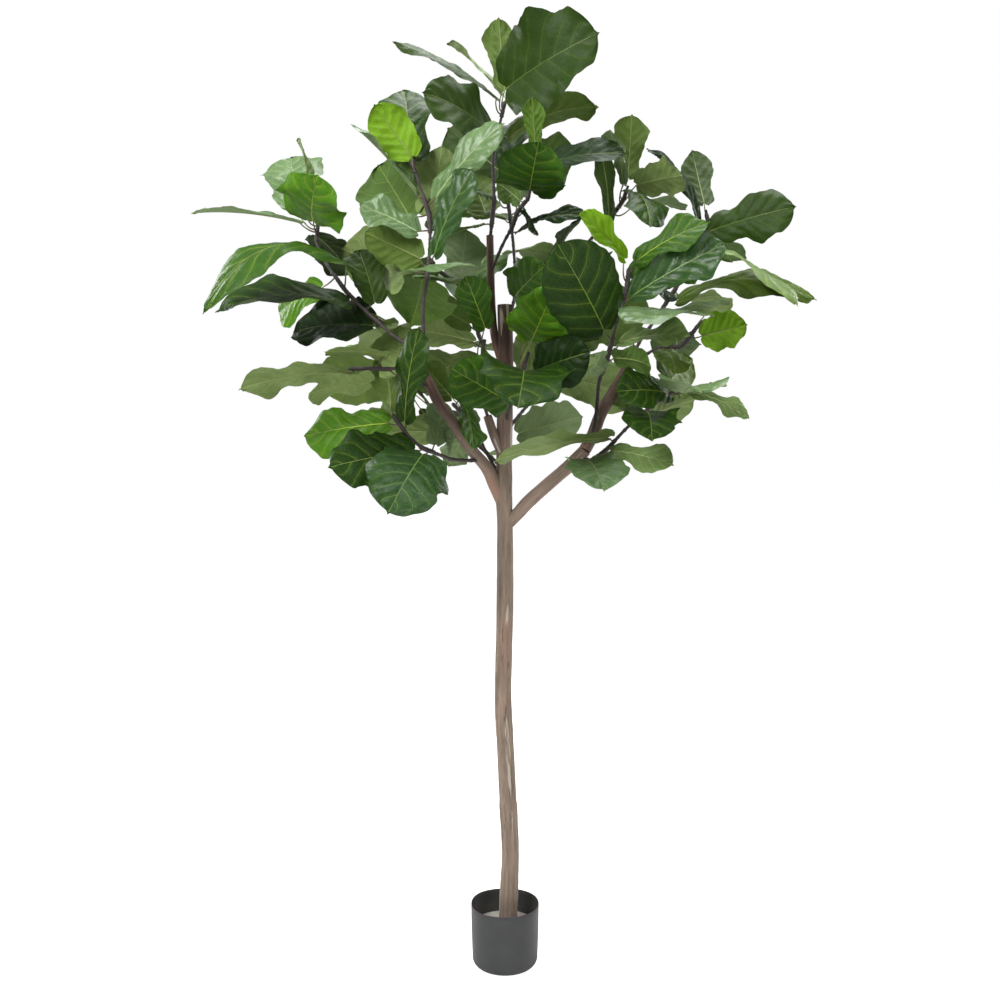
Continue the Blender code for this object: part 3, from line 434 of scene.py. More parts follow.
# What an upper side's and an underside's colour is multiplied by where it is darker: in patches, partly the
# leaf's own uneven colour and partly painted shade of its quilted, crumpled blade; beside the underside's
# veins, partly painted shade too; and in the net and at the margin.
UPPER_SHADE = (0.62, 0.66, 0.62)
UNDER_SHADE = (0.58, 0.62, 0.5)

# Stage
FLOOR_CORNERS = ((-12, -6), (12, -6), (12, 24), (-12, 24))
FLOOR_DROP = 0.0005
FLOOR_GLOW = 0.95
FILL = 0.30
CROWN = (0, 0, 1.9)
# light: (its place, what it faces, its width and height, its watts)
LIGHTS = {
    "key": ((-2.6, -2.8, 4.4), CROWN, (2.6, 2.0), 230.0),
    "front fill": ((2.4, -3.4, 2.2), (0, 0, 1.4), (2.4, 2.4), 46.0),
    "top": ((0.4, 0.6, 4.6), CROWN, (2.6, 2.2), 110.0),
    "edge left": ((-3.0, 2.2, 2.8), CROWN, (0.9, 2.4), 70.0),
    "edge right": ((3.0, 2.0, 2.6), CROWN, (0.9, 2.4), 70.0),
}
CAMERA_PLACE = (0.0, -2.9, 1.42)
CAMERA_LENS = 37.62
CAMERA_SENSOR = 36.0
CAMERA_SHIFT = (-0.005, -0.0495)

# tone: (upper side, underside, veins, gloss from 0 to 1)
TONES = {
    "deep": ((18, 42, 6), (50, 70, 26), (68, 98, 30), 0.4),
    "dark": ((32, 62, 14), (66, 90, 36), (134, 158, 56), 0.5),
    "shade": ((44, 68, 14), (60, 82, 32), (88, 108, 44), 0.3),
    "mid": ((50, 90, 20), (84, 112, 46), (158, 182, 62), 0.5),
    "bright": ((76, 126, 24), (104, 138, 54), (182, 202, 72), 0.5),
    # The next tone's bright base and dark veins are partly a young leaf's own colour and partly painted light
    # shining through the leaf from behind.
    "lime": ((124, 172, 20), (122, 166, 26), (84, 112, 22), 0.4),
    "olive": ((82, 108, 36), (100, 124, 54), (158, 174, 84), 0.4),
    "pale": ((116, 142, 80), (128, 148, 88), (190, 204, 132), 0.5),
    "teal": ((42, 76, 30), (86, 116, 62), (128, 160, 76), 0.9),
    # The next tone's pale base is painted sheen, a whitish gleam laid into the colour, on top of its real
    # gloss.
    "silver": ((100, 130, 80), (136, 158, 112), (184, 202, 146), 1.0),
}

# Leaves with a shape of their own, by cluster and number: the draws that they don't leave to chance.
OWN_SHAPES = {
    "leaves_far_left_top": {
        1: {"twist": 0.05, "cup": -0.02, "ruffle": 0.05}, 2: {"scallop": 0.03},
        3: {"scallop": 0.02, "ruffle": 0.04, "twist": 0.0}, 4: {"cup": -0.16, "scallop": 0.05}},
    "leaves_far_left_middle": {1: {"twist": -0.1, "cup": -0.3, "ruffle": 0.10}, 2: {"ruffle": 0.10}},
    "leaves_left_crown": {1: {"cup": -0.1}},
    "leaves_low_left_middle": {1: {"scallop": 0.12, "ruffle": 0.12}, 2: {"scallop": 0.09, "cup": -0.2}},
    "leaves_crown_top": {1: {"cup": -0.25}, 2: {"twist": 0.0, "cup": 0.0}, 4: {"scallop": 0.07, "cup": 0.1}},
    "leaves_right_middle": {3: {"scallop": 0.02, "ruffle": 0.06, "cup": -0.15, "twist": 0.0}},
    "leaves_far_right_low": {1: {"cup": -0.3}},
    "leaves_far_right_top": {3: {"scallop": 0.08, "cup": -0.25}, 4: {"cup": -0.2}},
}

# The tone of each leaf, in the order of its cluster's leaves. Each tone was matched to how light or dark its
# leaf looks, so besides the leaf's own colour it holds painted light and shade: paler tones where light or
# sheen falls on a leaf, darker ones where it lies in shade.
LEAF_TONES = {
    "leaves_far_left_top": "silver silver olive bright deep",
    "leaves_far_left_middle": "mid dark bright",
    "leaves_far_left_low": "deep pale olive shade",
    "leaves_left_tier": "pale pale pale pale",
    "leaves_left_centre": "olive pale teal bright silver",
    "leaves_left_upper": "silver mid pale silver silver",
    "leaves_left_crown": "lime dark olive",
    "leaves_low_left_end": "bright olive dark",
    "leaves_low_left_middle": "dark teal silver",
    "leaves_inner_low": "olive pale mid silver",
    "leaves_stub": "mid pale",
    "leaves_inner_left": "silver silver pale",
    "leaves_front": "mid dark deep bright lime",
    "leaves_crown_low": "olive dark mid",
    "leaves_crown_middle": "shade olive",
    "leaves_crown_top": "shade pale olive shade",
    "leaves_crown_right_low": "deep mid deep",
    "leaves_crown_right_end": "bright mid deep",
    "leaves_upper_right_low": "mid deep mid",
    "leaves_upper_right_end": "olive silver pale dark dark silver",
    "leaves_right_middle": "mid pale dark silver",
    "leaves_right_upper": "lime mid mid teal",
    "leaves_far_right_low": "olive deep pale silver",
    "leaves_far_right_top": "deep shade shade pale mid",
    "leaves_outer_right": "lime silver olive dark",
    "leaves_low_right_start": "pale pale silver",
    "leaves_low_right_middle": "dark olive pale",
    "leaves_low_right_end": "dark silver pale olive",
    "leaves_back_left": "olive silver mid pale pale",
    "leaves_back_right": "silver olive pale mid mid pale pale",
    "leaves_back_low": "silver olive mid olive dark pale silver",
    "leaves_back_crown": "shade mid olive deep pale",
}


# Wood and twigs

def tapered(line, start, end):
    """A radius for each point of a line, from its start's to its end's."""
    last = len(line) - 1
    return [start + (end - start) * i / last for i in range(last + 1)]


def tube_mesh(name, line, radii):
    """A tube with flat ends, as a welded mesh."""
    curve = bpy.data.curves.new(name, "CURVE")
    curve.dimensions = "3D"
    curve.bevel_depth = 1.0
    curve.bevel_resolution = TWIG_RESOLUTION
    curve.use_fill_caps = True
    spline = curve.splines.new("POLY")
    spline.points.add(len(line) - 1)
    for point, place, radius in zip(spline.points, line, radii):
        point.co = (*place, 1)
        point.radius = radius
    ob = bpy.data.objects.new(name, curve)
    bpy.context.scene.collection.objects.link(ob)
    shape = ob.evaluated_get(bpy.context.evaluated_depsgraph_get())
    mesh = bpy.data.meshes.new_from_object(shape)
    bpy.data.objects.remove(ob)
    bpy.data.curves.remove(curve)
    bm = bmesh.new()
    bm.from_mesh(mesh)
    bmesh.ops.remove_doubles(bm, verts=bm.verts, dist=1e-6)
    bmesh.ops.recalc_face_normals(bm, faces=bm.faces)
    bm.to_mesh(mesh)
    bm.free()
    return mesh


class Stem:
    """A wood or twig piece's centre line, in metres, and its radii along it."""

    def __init__(self, row):
        start, end, points = row
        self.line = [Vector(point) * CM for point in points]
        self.radii = tapered(self.line, start * CM, end * CM)

    def room(self, wider):
        """A tree of faces around the stem, wider than it by a clearance."""
        mesh = tube_mesh("room to test", self.line, [r + wider for r in self.radii])
        bm = bmesh.new()
        bm.from_mesh(mesh)
        room = BVHTree.FromBMesh(bm)
        bm.free()
        bpy.data.meshes.remove(mesh)
        return room

    def distances(self):
        """How far along the stem each of its points is."""
        total = [0.0]
        for a, b in zip(self.line, self.line[1:]):
            total.append(total[-1] + (b - a).length)
        return total

    def place(self, distance):
        """The place at a distance along the stem."""
        total = self.distances()
        for i, (a, b) in enumerate(zip(self.line, self.line[1:])):
            if distance <= total[i + 1] or i == len(self.line) - 2:
                return a.lerp(b, min(1.0, (distance - total[i]) / (b - a).length))

    def nearest(self, x, z):
        """The distance along the stem where it passes closest to (x, z), seen from the front."""
        best = (math.inf, 0.0)
        total = self.distances()
        for i, (a, b) in enumerate(zip(self.line, self.line[1:])):
            run = b - a
            flat = run.x**2 + run.z**2
            share = ((x - a.x) * run.x + (z - a.z) * run.z) / flat
            share = min(1.0, max(0.0, share))
            spot = a + run * share
            best = min(best, (math.hypot(x - spot.x, z - spot.z), total[i] + share * run.length))
        return best[1]

    def stretch(self, start, end):
        """The centre line between two distances."""
        total = self.distances()
        inner = [p for p, d in zip(self.line, total) if start + 0.002 < d < end - 0.002]
        return [self.place(start), *inner, self.place(end)]


# Leaves

class Leaf:
    """One leaf's stalk and blade, placed from its row and moved aside by a swing."""

    def __init__(self, row, stem, distance, swing):
        base, tip, self.width_share, face, self.bow = row
        roundness = (self.width_share - WAISTED_SHARE) / (ROUND_SHARE - WAISTED_SHARE)
        self.roundness = min(1.0, max(0.0, roundness))
        self.root = stem.place(distance)
        self.stem_way = (stem.place(distance + 0.005) - stem.place(distance - 0.005)).normalized()
        sleeve_inside = ROOT_DEPTH * max(stem.radii)
        tip = Vector(tip) * CM
        reach = tip.y - self.root.y
        base = Vector((base[0] * CM, self.root.y + BASE_REACH * reach, base[1] * CM))
        self.length = (tip - base).length
        base += BASE_SWING * swing
        tip += swing
        heading = (tip - base).normalized()
        if (base - self.root).length < STALK_SHORTEST:
            away = (base - self.root) + heading * 0.02
            base = self.root + away.normalized() * STALK_SHORTEST
            heading = (tip - base).normalized()
        self.base, self.heading = base, heading
        self.tip = base + heading * self.length
        self.outward = self.away_from_stem(base - self.root + heading * 0.01)
        self.root = self.root + self.outward * sleeve_inside
        self.normal = self.facing(face)
        self.side = heading.cross(self.normal).normalized()

    def away_from_stem(self, way):
        """The part of a way that is square to the stem."""
        return (way - self.stem_way * way.dot(self.stem_way)).normalized()

    def facing(self, face):
        """The way that the blade's upper side looks, square to its heading."""
        if face == UP:
            return self.square(Vector((0, 0, 1)))
        front = self.square(Vector((0, -1, 0)))
        across = self.heading.cross(front)
        guide = across.z if abs(across.z) > 0.15 else across.x * math.copysign(1, self.base.x)
        across *= math.copysign(1, guide)
        turn = math.radians(face)
        return front * math.cos(turn) + across * math.sin(turn)

    def square(self, way):
        """The part of a way that is square to the blade's heading."""
        return (way - self.heading * way.dot(self.heading)).normalized()

    def midrib(self, t):
        """The place on the blade's midrib at a share of its length."""
        arch = self.normal * (self.bow * self.length * 4 * t * (1 - t))
        return self.base.lerp(self.tip, t) + arch

    def blade_rings(self, thickness):
        """Four points for each step along the blade: left edge, top, right edge, underside."""
        rings = []
        for t, waisted, round_share in OUTLINE:
            share = waisted + (round_share - waisted) * self.roundness
            middle = self.midrib(t)
            along = self.midrib(t + 0.01) - self.midrib(t - 0.01)
            up = self.side.cross(along).normalized()
            half = self.length * self.width_share / 2 * share
            lift = up * (BLADE_FOLD * half)
            edge = self.side * half
            thick = up * (thickness / 2 * (1 - 0.4 * t))
            rings.append([middle - edge + lift, middle + thick, middle + edge + lift, middle - thick])
        return rings

    def bend(self):
        """Where the stalk, which leaves its sleeve outwards, turns towards the blade."""
        return self.root + self.outward * ((self.base - self.root).length * STALK_BEND)

    def stalk_rings(self, start):
        """Four points for each step along the stalk, from a share of its way on."""
        bend = self.bend()
        rings = []
        for t in (start, (1 + start) / 2):
            middle = self.root.lerp(bend, t).lerp(bend.lerp(self.base, t), t)
            along = bend.lerp(self.base, t) - self.root.lerp(bend, t)
            side = along.cross(self.normal).normalized()
            up = side.cross(along).normalized()
            out, over = side * STALK_RADIUS, up * STALK_RADIUS
            rings.append([middle - out, middle + over, middle + out, middle - over])
        return rings

    def tests(self):
        """The blade and the stalk's outer part, thickened for the clearance tests."""
        skip = min(0.7, STALK_SKIP / (self.base - self.root).length)
        stalk = self.stalk_rings(skip) + self.blade_rings(2 * STALK_CLEARANCE)[:1]
        return tree_of(self.blade_rings(2 * CLEARANCE)), tree_of(stalk)


def ring_faces(count):
    """The faces of a closed body through rings of four points."""
    faces = [(3, 2, 1, 0), tuple(4 * (count - 1) + k for k in range(4))]
    for ring in range(count - 1):
        a, b = 4 * ring, 4 * ring + 4
        faces += [(a + k, a + (k + 1) % 4, b + (k + 1) % 4, b + k) for k in range(4)]
    return faces


def tree_of(rings):
    """A tree of the faces through rings of four points, to test for overlaps."""
    return BVHTree.FromPolygons([p for ring in rings for p in ring], ring_faces(len(rings)))


def swings():
    """The moves aside that a leaf tries, none first and the widest last."""
    yield Vector((0, 0, 0))
    for step in range(1, SWING_STEPS + 1):
        for way in SWINGS:
            yield Vector(way) * (SWING_STEP * step)


def clears(leaf, stem_name, placed, rooms):
    """The leaf's tests against what is there already, or None if its blade or stalk touches any of it."""
    blade, stalk = leaf.tests()
    if any(blade.overlap(room) or stalk.overlap(room) for room in rooms):
        return None
    for other_stem, other_blade, other_stalk in placed:
        if blade.overlap(other_blade) or blade.overlap(other_stalk) or stalk.overlap(other_blade):
            return None
        if other_stem != stem_name and stalk.overlap(other_stalk):
            return None
    return stem_name, blade, stalk


def stalk_distances(stem, rows):
    """How far along the stem each leaf's stalk starts, spaced evenly in the order that they come."""
    reached = [stem.nearest(row[0][0] * CM, row[0][1] * CM) for row in rows]
    half = min((max(reached) - min(reached)) / 2, SLEEVE_LONGEST / 2)
    half = max(half, STALK_SPACING * (len(rows) - 1) / 2)
    last = stem.distances()[-1] - 1.5 * SLEEVE_END
    middle = min(last - half, (min(reached) + max(reached)) / 2)
    middle = max(SLEEVE_FIRST + half, middle)
    order = sorted(range(len(rows)), key=lambda i: reached[i])
    share = 2 * half / (len(rows) - 1)
    return [middle - half + share * order.index(i) for i in range(len(rows))]


def place_leaves(stems):
    """Every cluster's leaves. Each leaf in turn swings aside until it is clear of all before it, or else
    keeps its widest swing.
    """
    rooms = [
        stem.room(CLEARANCE if name in WOOD else TWIG_CLEARANCE - stem.radii[0])
        for name, stem in stems.items()]
    placed, clusters = [], {}
    for cluster, (stem_name, rows) in CLUSTERS.items():
        clusters[cluster] = []
        stem = stems[stem_name]
        for row, distance in zip(rows, stalk_distances(stem, rows)):
            for swing in swings():
                leaf = Leaf(row, stem, distance, swing)
                found = clears(leaf, stem_name, placed, rooms)
                if found:
                    break
            placed.append(found or (stem_name, *leaf.tests()))
            clusters[cluster].append(leaf)
    return clusters


# Node trees: fields, sockets and modifiers

class Field:
    """A value that varies over a surface. Arithmetic on it adds nodes to its tree."""

    def __init__(self, tree, socket):
        self.tree, self.socket = tree, socket

    def is_vector(self):
        return self.socket.type in ("VECTOR", "RGBA")

    def math(self, operation, *others):
        return Field(self.tree, add(self.tree, "ShaderNodeMath", (self, *others), operation=operation))

    def vector_math(self, operation, *others):
        return Field(self.tree, add(self.tree, "ShaderNodeVectorMath", (self, *others), operation=operation))

    def either(self, operation, other):
        vectors = self.is_vector() or (isinstance(other, Field) and other.is_vector())
        return self.vector_math(operation, other) if vectors else self.math(operation, other)

    def __add__(self, other):
        return self.either("ADD", other)

    def __sub__(self, other):
        return self.either("SUBTRACT", other)

    def __rsub__(self, other):
        return (self * -1) + other

    def __mul__(self, other):
        if not self.is_vector():
            return self.math("MULTIPLY", other)
        node = add_node(self.tree, "ShaderNodeVectorMath", operation="SCALE")
        join(self.tree, self, node.inputs[0])
        join(self.tree, other, node.inputs["Scale"])
        return Field(self.tree, node.outputs[0])

    __radd__ = __add__
    __rmul__ = __mul__

    def __truediv__(self, other):
        return self.math("DIVIDE", other)

    def __pow__(self, other):
        return self.math("POWER", other)

    def __abs__(self):
        return self.math("ABSOLUTE")

    def sin(self):
        return self.math("SINE")

    def cos(self):
        return self.math("COSINE")

    def sign(self):
        return self.math("SIGN")

    def clamped(self):
        return Field(self.tree, add(self.tree, "ShaderNodeClamp", (self, 0.0, 1.0)))

    def cross(self, other):
        return self.vector_math("CROSS_PRODUCT", other)

    def normalized(self):
        return self.vector_math("NORMALIZE")

    def parts(self):
        """The three numbers of a vector."""
        node = add_node(self.tree, "ShaderNodeSeparateXYZ")
        join(self.tree, self, node.inputs[0])
        return [Field(self.tree, socket) for socket in node.outputs]

    def ramp(self, low, high, start=0.0, end=1.0):
        """From start to end, smoothly, as this value goes from low to high."""
        node = add_node(self.tree, "ShaderNodeMapRange", interpolation_type="SMOOTHSTEP")
        for socket, value in zip(node.inputs[:5], (self, low, high, start, end)):
            join(self.tree, value, socket)
        return Field(self.tree, node.outputs[0])


def add_node(tree, kind, **settings):
    """A new node with its own settings."""
    node = tree.nodes.new(kind)
    for name, value in settings.items():
        setattr(node, name, value)
    return node


def join(tree, value, socket):
    """Sets an input to a plain value, or links a field or a socket to it."""
    if isinstance(value, Field):
        value = value.socket
    if isinstance(value, bpy.types.NodeSocket):
        tree.links.new(value, socket)
    elif socket.type == "VECTOR" and isinstance(value, (int, float)):
        socket.default_value = (value, value, value)
    elif socket.type == "RGBA":
        socket.default_value = (*value, 1.0)[:4]
    else:
        socket.default_value = value


def add(tree, kind, inputs=(), **settings):
    """A new node with its inputs joined, by order or by name; returns its first visible output."""
    node = add_node(tree, kind, **settings)
    pairs = inputs.items() if isinstance(inputs, dict) else enumerate(inputs)
    for key, value in pairs:
        join(tree, value, node.inputs[key])
    return next(socket for socket in node.outputs if socket.enabled)


def combined(tree, x, y, z):
    """A vector of three values."""
    return Field(tree, add(tree, "ShaderNodeCombineXYZ", (x, y, z)))


def noise(tree, place, scale, detail=2.0, roughness=0.5):
    """Smooth noise about 0, from about -0.5 to 0.5."""
    inputs = {"Vector": place, "Scale": scale, "Detail": detail, "Roughness": roughness}
    return Field(tree, add(tree, "ShaderNodeTexNoise", inputs)) - 0.5


def blend(tree, share, a, b, how="MIX"):
    """From colour a to colour b as share goes from 0 to 1."""
    node = add_node(tree, "ShaderNodeMix", data_type="RGBA", blend_type=how, clamp_factor=True)
    join(tree, share, node.inputs[0])
    join(tree, a, node.inputs[6])
    join(tree, b, node.inputs[7])
    return Field(tree, node.outputs[2])


def new_tree(name, kind, inputs, outputs):
    """A node group with named inputs, given as name: (socket type, value), and named outputs."""
    tree = bpy.data.node_groups.new(name, kind)
    for socket_name, (socket_kind, value) in inputs.items():
        item = tree.interface.new_socket(socket_name, in_out="INPUT", socket_type=socket_kind)
        if value is not None:
            item.default_value = value
    for socket_name, socket_kind in outputs.items():
        tree.interface.new_socket(socket_name, in_out="OUTPUT", socket_type=socket_kind)
    return tree, tree.nodes.new("NodeGroupInput"), tree.nodes.new("NodeGroupOutput")


def field_of(tree, node, name):
    """A node's output, as a field."""
    return Field(tree, node.outputs[name])


def attribute(tree, name, kind="FLOAT"):
    """A named attribute in a geometry tree."""
    return Field(tree, add(tree, "GeometryNodeInputNamedAttribute", {"Name": name}, data_type=kind))


def stored(tree, geometry, name, value, kind="FLOAT"):
    """The geometry with a value kept on its points."""
    inputs = {"Geometry": geometry, "Name": name, "Value": value}
    return add(tree, "GeometryNodeStoreNamedAttribute", inputs, data_type=kind, domain="POINT")


def shaped(ob, tree, values):
    """The plain mesh that a geometry tree makes of an object, which is then removed."""
    modifier = ob.modifiers.new(tree.name, "NODES")
    modifier.node_group = tree
    for item in tree.interface.items_tree:
        if item.in_out == "INPUT" and item.name in values:
            modifier[item.identifier] = values[item.name]
    bpy.context.view_layer.update()
    whole = ob.evaluated_get(bpy.context.evaluated_depsgraph_get())
    mesh = bpy.data.meshes.new_from_object(whole, depsgraph=bpy.context.evaluated_depsgraph_get())
    source = ob.data
    bpy.data.objects.remove(ob)
    bpy.data.meshes.remove(source)
    return mesh


def path_object(paths):
    """Paths, each a list of (place, radius), as one object of edges with a thickness at each point."""
    points, edges, radii = [], [], []
    for path in paths:
        first = len(points)
        points += [tuple(place) for place, radius in path]
        radii += [radius for place, radius in path]
        edges += [(first + i, first + i + 1) for i in range(len(path) - 1)]
    mesh = bpy.data.meshes.new("paths")
    mesh.from_pydata(points, edges, [])
    mesh.attributes.new("thickness", "FLOAT", "POINT").data.foreach_set("value", radii)
    return linked("paths", mesh)


def linked(name, mesh):
    """An object of the scene with a mesh."""
    ob = bpy.data.objects.new(name, mesh)
    bpy.context.scene.collection.objects.link(ob)
    return ob


# Geometry trees: round stems, and leaf blades

def stem_tree():
    """Round stems along paths, with knots, relief along the grain, and small nodules."""
    tree, given, made = new_tree("Round stems", "GeometryNodeTree", {
        "Geometry": ("NodeSocketGeometry", None),
        "Sides": ("NodeSocketInt", 12),
        "Step": ("NodeSocketFloat", 0.004),
        "Knot height": ("NodeSocketFloat", 0.0),
        "Knot spacing": ("NodeSocketFloat", 0.03),
        "Relief": ("NodeSocketFloat", 0.0),
        "Relief scale": ("NodeSocketFloat", 40.0),
        "Grain stretch": ("NodeSocketFloat", 0.12),
        "Waviness": ("NodeSocketFloat", 0.0),
        "Nodule radius": ("NodeSocketFloat", 0.001),
        "Nodules per square metre": ("NodeSocketFloat", 0.0),
        "Seed": ("NodeSocketInt", 0),
        "Finish": ("NodeSocketMaterial", None),
    }, {"Geometry": "NodeSocketGeometry"})

    def value(name):
        return field_of(tree, given, name)

    curve = add(tree, "GeometryNodeMeshToCurve", (given.outputs["Geometry"],))
    curve = add(tree, "GeometryNodeCurveSplineType", (curve,), spline_type="CATMULL_ROM")
    curve = add(tree, "GeometryNodeResampleCurve", {"Curve": curve, "Length": value("Step")}, mode="LENGTH")
    parameter = add_node(tree, "GeometryNodeSplineParameter")
    run = Field(tree, parameter.outputs["Length"])
    curve = stored(tree, curve, "run", run)
    thickness = attribute(tree, "thickness")
    knots = (run / value("Knot spacing") * math.tau).sin().ramp(0.55, 1.0)
    swell = combined(tree, run, value("Seed"), 0.0)
    radius = thickness * (1 + knots * value("Knot height") + noise(tree, swell, 9.0) * value("Waviness"))
    ring = add(tree, "GeometryNodeCurvePrimitiveCircle", {"Resolution": value("Sides"), "Radius": 1.0})
    place = Field(tree, add(tree, "GeometryNodeInputPosition"))
    ring = stored(tree, ring, "ring", place, "FLOAT_VECTOR")
    mesh = add(tree, "GeometryNodeCurveToMesh", {
        "Curve": curve, "Profile Curve": ring, "Scale": radius, "Fill Caps": True})
    x, y = (attribute(tree, "ring", "FLOAT_VECTOR") * attribute(tree, "thickness")).parts()[:2]
    grain = combined(tree, x, y, attribute(tree, "run") * value("Grain stretch"))
    shifted = grain + combined(tree, value("Seed"), 0.0, 0.0)
    mesh = stored(tree, mesh, "grain", shifted, "FLOAT_VECTOR")
    grain = attribute(tree, "grain", "FLOAT_VECTOR")
    normal = Field(tree, add(tree, "GeometryNodeInputNormal"))
    height = noise(tree, grain, value("Relief scale"), 3.0, 0.6) * value("Relief")
    mesh = add(tree, "GeometryNodeSetPosition", {"Geometry": mesh, "Offset": normal * height})
    spots = add_node(tree, "GeometryNodeDistributePointsOnFaces")
    join(tree, mesh, spots.inputs["Mesh"])
    join(tree, value("Nodules per square metre"), spots.inputs["Density"])
    join(tree, value("Seed"), spots.inputs["Seed"])
    ball = add(tree, "GeometryNodeMeshIcoSphere", {"Radius": value("Nodule radius"), "Subdivisions": 1})
    size = add_node(tree, "FunctionNodeRandomValue", data_type="FLOAT")
    join(tree, 0.5, size.inputs[2])
    join(tree, 1.4, size.inputs[3])
    join(tree, value("Seed"), size.inputs["Seed"])
    nodules = add(tree, "GeometryNodeInstanceOnPoints", {
        "Points": spots.outputs["Points"], "Instance": ball, "Rotation": spots.outputs["Rotation"],
        "Scale": size.outputs[1]})
    whole = add_node(tree, "GeometryNodeJoinGeometry")
    join(tree, nodules, whole.inputs[0])
    join(tree, mesh, whole.inputs[0])
    mesh = add(tree, "GeometryNodeRealizeInstances", (whole.outputs[0],))
    mesh = add(tree, "GeometryNodeSetShadeSmooth", (mesh,))
    mesh = add(tree, "GeometryNodeSetMaterial", {"Geometry": mesh, "Material": value("Finish")})
    join(tree, mesh, made.inputs[0])
    return tree


def vein_phase(across, along, seed):
    """A number that is whole on each side vein. The veins sweep forward from the midrib to the margin."""
    sweep = (abs(across) ** VEIN_SWEEP_POWER) * VEIN_SWEEP
    return (along - sweep) * VEIN_COUNT + across.sign() * VEIN_STAGGER + seed


def margin_wave(across, along, seed, waves):
    """A wave along a blade's two margins, of each leaf's own rate and shift."""
    radians, more, shift, between_sides = waves
    return (along * (radians + seed * more) + seed * shift + across.sign() * between_sides).sin()


